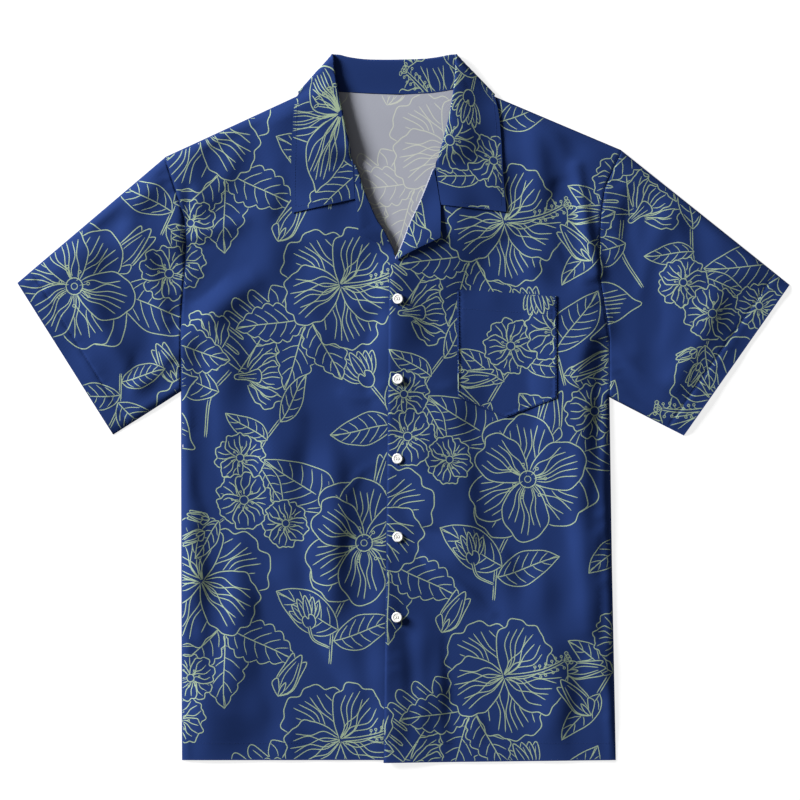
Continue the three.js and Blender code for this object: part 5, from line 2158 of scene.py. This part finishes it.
@dataclass
class Collar:
    """Camp collar: stand, rolled fold and fall in one leaf, wrapped round the neck."""

    shop: Workshop
    seam_gap: float = 0.6
    roll: float = 2.0
    roll_width: float = 34.0
    stands_up: tuple[float, float] = (6.0, 7.2)
    neck_right: float = -60.0
    neck_width: float = 100.0
    front_lay: float = 40.0
    front_run: float = 45.0
    seam_stands: float = 0.35
    rolled_to: float = 165.0
    rest: float = 1.9
    wrap: float = 3.0
    wrap_level: float = 3.6
    flat_strip: float = 4.0
    seam_inset: float = 5.0
    stations: int = 190
    step: float = 4.0
    outline_step: float = 3.4
    end_step: float = 3.0
    fall_points: int = 26
    fold_columns: range = range(2, 26, 2)
    end_row_share: float = 0.72
    print_shift: tuple[float, float] = (150.0, 232.0)
    print_angle: float = 90.0

    RIGHT = table(
        [-53.4, 229.9, -53.4, 229.9, -122.7, 214.5, 90, 0],
        [-54.4, 246, -54.4, 246, -124.1, 236, 90, 0],
        [-55.6, 270, -55.6, 270, -123.8, 262, 90, 0],
        [-58.8, 287, -68, 288, -123.3, 279, 90, 1],
        [-63.7, 311.3, -74.5, 310, -122.7, 300, 90, 1],
        [-71.6, 348.2, -83, 334, -121.2, 329, 90, 1],
        [-75.8, 370, -88.2, 350, -118.6, 339.5, 90, 1],
    )
    BACK = table(
        [-71, 388.6, -84, 352.6, -110, 342, -90, 1],
        [-64, 386.6, -72.1, 347.9, -100, 337, -90, 1],
        [-47.9, 383.9, -54, 346.5, -76, 334, -90, 1],
        [-20.4, 382.8, -22, 345, -33, 332.5, -90, 1],
        [4, 383.2, 5, 344.8, 14, 332.2, -90, 1],
        [29.2, 384.5, 36, 346.6, 56, 333.4, -90, 1],
        [45.7, 387.2, 56, 350.2, 84, 336, -90, 1],
        [51.5, 388.6, 68, 353.2, 95, 339.5, -90, 1],
    )
    LEFT = table(
        [57.0, 370, 71.8, 349, 102.6, 333, 90, 1],
        [54.9, 350, 67, 334, 104.6, 323, 90, 1],
        [48, 312, 57.5, 307, 107.2, 296, 90, 1],
        [40.4, 284, 49, 285, 108.4, 275, 90, 1],
        [34.9, 268, 34.9, 268, 109.2, 260, 90, 0],
        [38.0, 244, 38.0, 244, 111.2, 236, 90, 0],
        [40.9, 223.3, 40.9, 223.3, 112.8, 215.6, 90, 0],
    )

    def crease(self, fold: tuple[float, float], edge: tuple[float, float], inward: int,
               front_seam: tuple[float, float], back_seam: tuple[float, float],
               bow: tuple[float, float]) -> Points:
        """Stations round one shoulder crease.

        Args:
            fold: the crease's end at the collar's fold.
            edge: its end at the outer edge.
            inward: which side of it the collar lies on.
            front_seam: where the neck seam comes to it in front.
            back_seam: where it leaves it behind.
            bow: how far the seam bows out between them.

        Returns:
            Rows as in the tables, from front to back.
        """
        d = np.array(edge) - np.array(fold)
        normal = inward * np.array([-d[1], d[0]]) / np.linalg.norm(d)
        rows = []
        lays = (75, 45, 15, -15, -45, -75)
        for k, lay in enumerate(lays):
            back = normal * self.wrap * (1 - math.cos(math.radians(lay)))
            t = (k + 1) / (len(lays) + 1)
            seam = mix(np.array(front_seam), np.array(back_seam), t) + np.array(bow) * 4 * t * (1 - t)
            rows.append([*(np.array(fold) + back), *seam, *(np.array(edge) + back), lay, 1])
        return np.array(rows)

    def rows(self) -> Points:
        """Returns all stations in order, finely stepped."""
        right = self.crease((-79.8, 390.5), (-116.6, 348.3), 1, (-88.2, 350), (-84, 352.6), (-1.2, 4.6))
        left = self.crease((59.4, 390.5), (101.3, 345.6), -1, (71.8, 349), (68, 353.2), (1.2, 4.6))
        rows = np.vstack([self.RIGHT, right, self.BACK, left[::-1], self.LEFT])
        apart = np.linalg.norm(np.diff(rows[:, [0, 1, 4, 5]], axis=0), axis=1) + 1.2
        run = np.concatenate([[0.0], np.cumsum(apart)])
        fine = np.linspace(0.0, run[-1], self.stations)
        slopes = np.gradient(rows, run, axis=0)
        out = []
        for s in fine:
            k = min(int(np.searchsorted(run, s, side="right")) - 1, len(rows) - 2)
            h = run[k + 1] - run[k]
            t = (s - run[k]) / h
            held = np.where((rows[k + 1] - rows[k])[None] * slopes[[k, k + 1]] <= 0, 0.0, slopes[[k, k + 1]])
            limit = 3 * np.abs(rows[k + 1] - rows[k]) / h
            m0, m1 = np.clip(held[0], -limit, limit), np.clip(held[1], -limit, limit)
            out.append((2 * t**3 - 3 * t**2 + 1) * rows[k] + (t**3 - 2 * t**2 + t) * h * m0
                       + (-2 * t**3 + 3 * t**2) * rows[k + 1] + (t**3 - t**2) * h * m1)
        return np.array(out)

    def section(self, row: np.ndarray) -> Points:
        """Middle points of one section, from the neck seam over the fold to the outer edge."""
        form = self.shop.form
        fold, seam, edge, lay, turn = row[0:2], row[2:4], row[4:6], math.radians(row[6]), row[7]
        fall = np.linalg.norm(edge - fold)
        way = (edge - fold) / fall
        out = fold - seam
        stand = max(float(np.linalg.norm(out)), 0.001)
        out_way = out / stand
        side = 1.0 if way[0] >= 0 else -1.0
        normal = np.array([side * way[1], side * -way[0]])
        in_front = float(smooth_step((row[6] - self.front_lay) / self.front_run))
        wrapped = self.wrap_level + self.wrap * math.sin(lay)
        stands_up = mix(*self.stands_up, float(smooth_step((fold[0] - self.neck_right) / self.neck_width)))

        def fall_level(points: Points, reach: np.ndarray) -> np.ndarray:
            """Returns the fall's level at points a reach away from the fold."""
            rolled = stands_up * np.exp(-((reach / self.roll_width) ** 2))
            on_front = form.front(points) + self.rest + rolled * turn
            return mix(np.full(len(points), wrapped), on_front, in_front)

        w = np.array([-normal[0] * math.cos(lay), -normal[1] * math.cos(lay), math.sin(lay)])
        fold_at = fold - out_way * self.roll * turn
        fold_top = float(fall_level(fold[None], np.zeros(1))[0])
        seam_at = seam + out_way * self.seam_gap
        seam_top = float(mix(form.back(seam[None])[0], form.front(seam[None])[0],
                             in_front if row[6] > 0 else 0.0) + self.seam_stands)
        low = np.array([*(fold_at - 2 * self.roll * w[:2]), fold_top - 2 * self.roll * w[2]])
        rolled = []
        for t in np.linspace(0.0, 0.9, 10):
            rolled.append([*mix(seam_at, low[:2], t), mix(seam_top, low[2], smooth_step(t))])
        for degrees in np.linspace(0.0, self.rolled_to, 12):
            a = math.radians(degrees)
            c, s = self.roll * (1 + math.cos(a)), self.roll * math.sin(a)
            rolled.append([*(fold_at - c * w[:2] + s * out_way), fold_top - c * w[2]])
        rolled = np.array(rolled)
        reach = self.flat_strip * np.arange(len(rolled)) / len(rolled)
        flat = fold + way * reach[:, None]
        strip = np.column_stack([flat, fall_level(flat, reach)])
        first = mix(strip, rolled, turn)
        start = mix(fold + way * self.flat_strip, fold_at, turn)
        t = np.linspace(0.0, 1.0, self.fall_points)
        points = mix(start[None], edge[None], t[:, None])
        last = np.column_stack([points, fall_level(points, t * fall)])
        return np.vstack([first, last])

    def build(self) -> None:
        """Builds the collar."""
        grid = np.array([self.section(row) for row in self.rows()])
        for _ in range(2):
            grid[1:-1] = (grid[:-2] + 2 * grid[1:-1] + grid[2:]) / 4
        fold_column, fall_column = len(grid[0]) // 2 - 4, len(grid[0]) - 8
        along = (lengths_along(grid[:, -1]) + lengths_along(grid[:, fold_column])) / 2
        across = np.array([lengths_along(row[::-1])[::-1] for row in grid])
        normals = unit(np.cross(np.gradient(grid, axis=0), np.gradient(grid, axis=1)))
        if normals[:12, fall_column, 2].mean() < 0:
            normals = -normals
        both, total = np.concatenate([grid, normals], axis=2), along[-1]

        def place(points: Points) -> tuple[Points, Points]:
            """Returns places and normals on the collar from lengths along and across it."""
            s = np.clip(points[:, 0], 0.0, total)
            k = np.clip(np.searchsorted(along, s, side="right") - 1, 0, len(along) - 2)
            f = (s - along[k]) / (along[k + 1] - along[k])
            made = np.empty((len(points), 6))
            for row in np.unique(k):
                mine = k == row
                share = points[mine, 1] / np.interp(s[mine], along, across[:, 0])
                ends = [np.stack([np.interp(share * across[r, 0], across[r][::-1], column[::-1])
                                  for column in both[r].T], axis=1) for r in (row, row + 1)]
                made[mine] = mix(ends[0], ends[1], f[mine][:, None])
            return made[:, :3], unit(made[:, 3:])

        low, high = np.column_stack([along, np.zeros(len(along))]), np.column_stack([along, across[:, 0]])
        outline = strip_outline(low, high, self.outline_step, self.end_step)
        fold_rows = [np.column_stack([along, across[:, c]]) for c in self.fold_columns]
        spread = np.vstack([hex_spread(outline.min(0), outline.max(0), self.step)] + fold_rows)
        panels = self.shop.printed_pair(outline, spread, self.print_shift, self.print_angle, longest=1.5)
        e = self.seam_inset
        self.shop.rows.append((place, table([e, e], [total - e, e])))
        for s in (e, total - e):
            self.shop.rows.append((place, table([s, e + 1.0], [s, self.end_row_share * across[0, 0]])))
        piece = self.shop.two_faced("collar", place, panels, (PRINTED, PRINTED), 0.0)
        self.shop.declare(piece, outline, "folded", ["front_right_cloth", "front_left_cloth"])


@dataclass
class Pocket:
    """Patch pocket with a pointed bottom, sewn to the wearer's left front."""

    shop: Workshop
    top_inner: tuple[float, float] = (58.9, 130.4)
    top_outer: tuple[float, float] = (168.3, 123.6)
    bottom_inner: tuple[float, float] = (58.9, 12.1)
    bottom_outer: tuple[float, float] = (168.3, 11.0)
    point: tuple[float, float] = (112.8, -10.5)
    sewn: float = 1.0
    stands: float = 2.6
    edge_ridge: float = 1.0
    ridge_in: float = 1.5
    ridge_width: float = 1.3
    sewn_run: float = 7.0
    mouth_lift: float = 1.1
    mouth_foot: float = 60.0
    mouth_height: float = 66.0
    mouth_hem: float = 21.0
    seam_inset: float = 1.8
    step: float = 4.0
    outline_step: float = 3.2
    seam_row_step: float = 3.4
    print_shift: tuple[float, float] = (-60.0, -150.0)

    def build(self) -> None:
        """Builds the pocket, held down at its sides and loose at its mouth."""
        form = self.shop.form
        held = table(self.top_inner, self.bottom_inner, self.point, self.bottom_outer, self.top_outer)
        outline = evenly(np.vstack([held, held[:1]]), self.outline_step)[:-1]

        def level(points: Points) -> np.ndarray:
            """Returns the pocket's level: close to the front at the seams, higher inside."""
            away = nearest_on(held, points)[0]
            mouth = smooth_step((points[:, 1] - self.mouth_foot) / self.mouth_height)
            stands = mix(self.stands - self.mouth_lift, self.stands, mouth)
            ridge = self.edge_ridge * np.exp(-(((away - self.ridge_in) / self.ridge_width) ** 2))
            return form.left_front(points) + mix(self.sewn, stands, smooth_step(away / self.sewn_run)) + ridge

        spread = hex_spread(outline.min(0), outline.max(0), self.step)
        spread = np.vstack([spread, beside(held, SEAM_ROWS, self.seam_row_step)])
        panels = self.shop.printed_pair(outline, spread, self.print_shift)
        place, e = on_field(level), self.seam_inset
        seam = inset(outline, e)
        seam = np.roll(seam, -nearest_index(seam, np.add(self.top_inner, (e, -1.0))), axis=0)
        last = nearest_index(seam, np.add(self.top_outer, (-e, -1.0)))
        self.shop.rows.append((place, seam[:last + 1]))
        mouth = table(self.top_inner, self.top_outer) + table([2.0, -self.mouth_hem], [-2.0, -self.mouth_hem])
        self.shop.rows.append((place, mouth))
        piece = self.shop.two_faced("pocket", place, panels, (PRINTED, LINED), 125.0)
        self.shop.declare(piece, outline, "laid", ["front_left_cloth"])


# Thread and buttons


@dataclass
class Threads:
    """Lengths of sewing thread, gathered into one piece."""

    radius: float = 0.17
    sides: int = 6
    end_size: float = 0.4
    first_stitch: float = 0.4
    dip: float = 0.14
    points: list[Points] = field(default_factory=list)
    faces: list[tuple[int, ...]] = field(default_factory=list)
    count: int = 0

    def lay(self, path: Points, radius: float = 0.0) -> None:
        """Lays one length of thread along points in space."""
        n, m = len(path), self.sides
        along = directions(path)
        side = np.cross(along, [0.0, 0.0, 1.0])
        flat = np.linalg.norm(side, axis=1)
        side = np.where(flat[:, None] > 1e-3, side / np.maximum(flat, 1e-9)[:, None], [1.0, 0.0, 0.0])
        over = np.cross(side, along)
        size = np.full(n, radius or self.radius)
        size[[0, -1]] *= self.end_size
        a = np.linspace(0.0, 2.0 * np.pi, m, endpoint=False)
        rings = path[:, None] + size[:, None, None] * (np.cos(a)[None, :, None] * side[:, None]
                                                      + np.sin(a)[None, :, None] * over[:, None])
        self.points.append(rings.reshape(-1, 3))
        first = self.count
        for k in range(n - 1):
            for j in range(m):
                i = (j + 1) % m
                self.faces.append((first + k * m + i, first + k * m + j,
                                   first + (k + 1) * m + j, first + (k + 1) * m + i))
        self.faces.append(tuple(first + j for j in range(m)))
        self.faces.append(tuple(first + (n - 1) * m + j for j in reversed(range(m))))
        self.count += n * m

    def sew(self, place: Place, curve: Points, stand: float, pitch: float = 3.1, gap: float = 0.8) -> None:
        """Sews a row of stitches on a surface.

        Args:
            place: gives the surface.
            curve: flat path of the row.
            stand: how far the thread's middle stands off the surface.
            pitch: from one stitch to the next.
            gap: between two stitches.
        """
        total = lengths_along(curve)[-1]
        starts = np.arange(self.first_stitch, total - pitch, pitch)
        runs = starts[:, None] + (pitch - gap) * np.array([0.0, 0.2, 0.8, 1.0])
        at, normal = place(at_fraction(curve, runs.ravel() / total))
        lifted = np.tile(np.array([-self.dip, 0.0, 0.0, -self.dip]), len(starts)) + stand
        at = (at + normal * lifted[:, None]).reshape(-1, 4, 3)
        for path in at:
            self.lay(path)

    def build(self, name: str, material: bpy.types.Material) -> bpy.types.Object:
        """Makes the object, in metres."""
        mesh = bpy.data.meshes.new(name)
        mesh.from_pydata((np.vstack(self.points) * MM).tolist(), [], self.faces)
        mesh.polygons.foreach_set("use_smooth", np.ones(len(self.faces), bool))
        mesh.materials.append(material)
        return new_object(name, mesh)


@dataclass
class Buttons:
    """Five four-hole buttons down the placket, with their thread and buttonholes."""

    shop: Workshop
    plastic: bpy.types.Material
    white: bpy.types.Material
    navy: bpy.types.Material
    places: tuple[tuple[float, float], ...] = (
        (-6.1, 119.9), (-6.1, 31.9), (-6.6, -55.6), (-6.3, -141.6), (-7.2, -229.9))
    radius: float = 5.75
    height: float = 2.0
    dish: float = 0.42
    dish_radius: float = 3.1
    rim_radius: float = 4.5
    hole_radius: float = 0.55
    hole_offset: float = 1.22
    rounds: tuple[float, ...] = (2.6, 3.1, 3.4, 3.8, 4.15, 4.5, 4.8, 5.1, 5.35, 5.55, 5.68)
    edge_round: float = 0.55
    taper: float = 0.92
    clear: float = 0.15
    sides: int = 48
    slit: float = 14.5
    stitch: float = 0.48

    def profile(self, r: np.ndarray) -> np.ndarray:
        """Returns the face's height at a distance from the middle."""
        dish = 1.0 - smooth_step((r - self.dish_radius) / (self.rim_radius - self.dish_radius))
        out = np.clip((r - self.rim_radius) / (self.radius - self.rim_radius), 0.0, 1.0)
        rounded = self.edge_round * self.height * (1.0 - np.sqrt(np.maximum(1.0 - out**2, 0.0)))
        return self.height - self.dish * dish - rounded

    def build_one(self, number: int, x: float, y: float) -> float:
        """Builds one button.

        Args:
            number: 1 at the top.
            x: its middle.
            y: its middle.

        Returns:
            The height of its underside.
        """
        form = self.shop.form
        rim = ring(x, y, self.radius, 24)[:-1]
        base = float(form.left_front(rim).max()) + form.cloth / 2 + self.clear
        holes = [ring(self.hole_offset * i, self.hole_offset * j, self.hole_radius, 14)[:-1]
                 for i in (-1, 1) for j in (-1, 1)]
        rounds = [ring(0.0, 0.0, r, self.sides)[:-1] for r in self.rounds]
        edge, inner = ring(0.0, 0.0, self.radius, self.sides)[:-1], np.vstack(rounds + [np.zeros((1, 2))])
        panel = cut_panel(edge, inner, holes=holes)

        def shape(scale: float, height: Callable[[np.ndarray], np.ndarray]) -> Place:
            """Returns the placing function of the button's face or underside."""
            def place(points: Points) -> tuple[Points, Points]:
                """Returns places and normals, moved to the button."""
                at, normal = on_field(lambda flat: base + height(np.hypot(*flat.T)), 0.02)(points)
                at[:, :2] = at[:, :2] * scale + np.array([x, y])
                return at, normal
            return place

        mesh, plain = ClothMesh(), (Finish.GROUND, Finish.GROUND)
        face = mesh.add_face(panel, shape(1.0, self.profile), 0.0, True, *plain)
        under = mesh.add_face(panel, shape(self.taper, np.zeros_like), 0.0, False, *plain, tile=14.0)
        mesh.add_rim(face, under, Finish.GROUND)
        mesh.add_walls(face, under, Finish.GROUND)
        piece = mesh.build(f"button_{number}_moulded", [self.plastic])
        self.shop.keep(piece, f"button_{number}", Slot.BUTTON)
        return base

    def sew_on(self, thread: Threads, x: float, y: float, base: float) -> None:
        """Lays the thread through one button: two loops on each side, close to its face.

        Args:
            thread: what it is laid in.
            x: the button's middle.
            y: the button's middle.
            base: the height of its underside.
        """
        o, top = self.hole_offset, base + self.height - self.dish
        low, shoulder, crown = base + 0.2, top - 0.02, top + 0.1
        loop = ((-1.0, low), (-0.8, shoulder), (-0.3, crown), (0.3, crown), (0.8, shoulder), (1.0, low))
        for i in (-1, 1):
            for aside in (-0.22, 0.22):
                thread.lay(np.array([(x + i * o + aside, y + t * o, z) for t, z in loop]))

    def sew_hole(self, thread: Threads, x: float, y: float) -> None:
        """Sews the stitches round one buttonhole.

        Args:
            thread: what they are laid in.
            x: the button's middle.
            y: the button's middle.
        """
        place, half_cloth = on_field(self.shop.form.left_front), self.shop.form.cloth / 2
        for s in (-1, 1):
            for step in np.arange(-self.slit / 2, self.slit / 2 + 0.01, self.stitch):
                at, normal = place(np.array([(x + s * out, y + step) for out in (0.15, 0.6, 1.25)]))
                thread.lay(at + normal * (half_cloth + np.array([0.02, 0.14, -0.04]))[:, None])
        for s in (-1, 1):
            bar = ((-1.3, 0.0), (0.0, 0.15), (1.3, 0.0))
            at, normal = place(np.array([(x + t, y + s * (self.slit / 2 + bow)) for t, bow in bar]))
            thread.lay(at + normal * (half_cloth + 0.16), 0.3)

    def build(self) -> None:
        """Builds all buttons, the thread through them and the buttonholes' stitches."""
        thread, holes = Threads(0.3), Threads(0.2)
        for number, (x, y) in enumerate(self.places, 1):
            self.sew_on(thread, x, y, self.build_one(number, x, y))
            self.sew_hole(holes, x, y)
        self.shop.keep(thread.build("button_thread", self.white), None, Slot.CLOTH)
        self.shop.keep(holes.build("buttonhole_stitches", self.navy), None, Slot.CLOTH)


# Stage


@dataclass
class Studio:
    """Floor, soft light and the camera straight above; the floor and the lamp are in metres."""

    floor_half: float = 6.0
    key_place: tuple[float, float, float] = (-6.6, 3.4, 3.2)
    key_size: float = 2.5
    key_power: float = 1620.0
    sky: float = 0.15
    view_width: float = 880.0
    camera_height: float = 6000.0
    centre: tuple[float, float] = (-3.85, 8.8)

    def build(self) -> None:
        """Builds the floor, lamps, sky and camera."""
        scene = bpy.context.scene
        mesh = bpy.data.meshes.new("floor")
        s = self.floor_half
        mesh.from_pydata([(-s, -s, 0), (s, -s, 0), (s, s, 0), (-s, s, 0)], [], [(0, 1, 2, 3)])
        white = (1.0, 1.0, 1.0, 1.0)
        mesh.materials.append(new_material("floor_paper", {
            "Base Color": (0.26, 0.26, 0.26, 1.0), "Roughness": 0.9, "Emission Color": white,
            "Emission Strength": 0.8})[0])
        new_object("floor", mesh)
        self.lamp("key", self.key_place, self.key_size, self.key_power)
        world = bpy.data.worlds.new("sky")
        world.use_nodes = True
        world.node_tree.nodes["Background"].inputs["Color"].default_value = white
        world.node_tree.nodes["Background"].inputs["Strength"].default_value = self.sky
        scene.world = world
        camera = bpy.data.cameras.new("camera")
        camera.lens = camera.sensor_width * self.camera_height / self.view_width
        camera.clip_end = 50.0
        scene.camera = new_object("camera", camera)
        scene.camera.location = (self.centre[0] * MM, self.centre[1] * MM, self.camera_height * MM)
        scene.view_settings.view_transform = "Standard"

    def lamp(self, name: str, place: tuple[float, float, float], size: float, power: float) -> None:
        """Adds one square lamp that shines at the middle of the shirt."""
        light = bpy.data.lights.new(name, "AREA")
        light.size = size
        light.energy = power
        lamp = new_object(name, light)
        lamp.location = place
        lamp.rotation_mode = "QUATERNION"
        lamp.rotation_quaternion = Vector(place).to_track_quat("Z", "Y")


def main() -> None:
    """Builds the shirt, the stage and the camera."""
    logging.basicConfig(level=logging.INFO, format="%(message)s")
    finishes = Cupboard()
    shop = Workshop(ShirtForm(), PrintedLength(), finishes.cloth())
    Studio().build()
    body = Body(shop)
    body.build_back()
    body.build_front(Side.RIGHT)
    body.build_front(Side.LEFT)
    for side in Side:
        Sleeve(shop, side).build()
        Lapel(shop, side).build()
    Collar(shop).build()
    Pocket(shop).build()
    navy, white = finishes.threads()
    Buttons(shop, finishes.plastic.material(), white, navy).build()
    stitches = Threads()
    for place, curve in shop.rows:
        stitches.sew(place, curve, shop.form.cloth / 2 + 0.08)
    shop.keep(stitches.build("topstitching", navy), None, Slot.CLOTH)


if __name__ == "__main__":
    main()
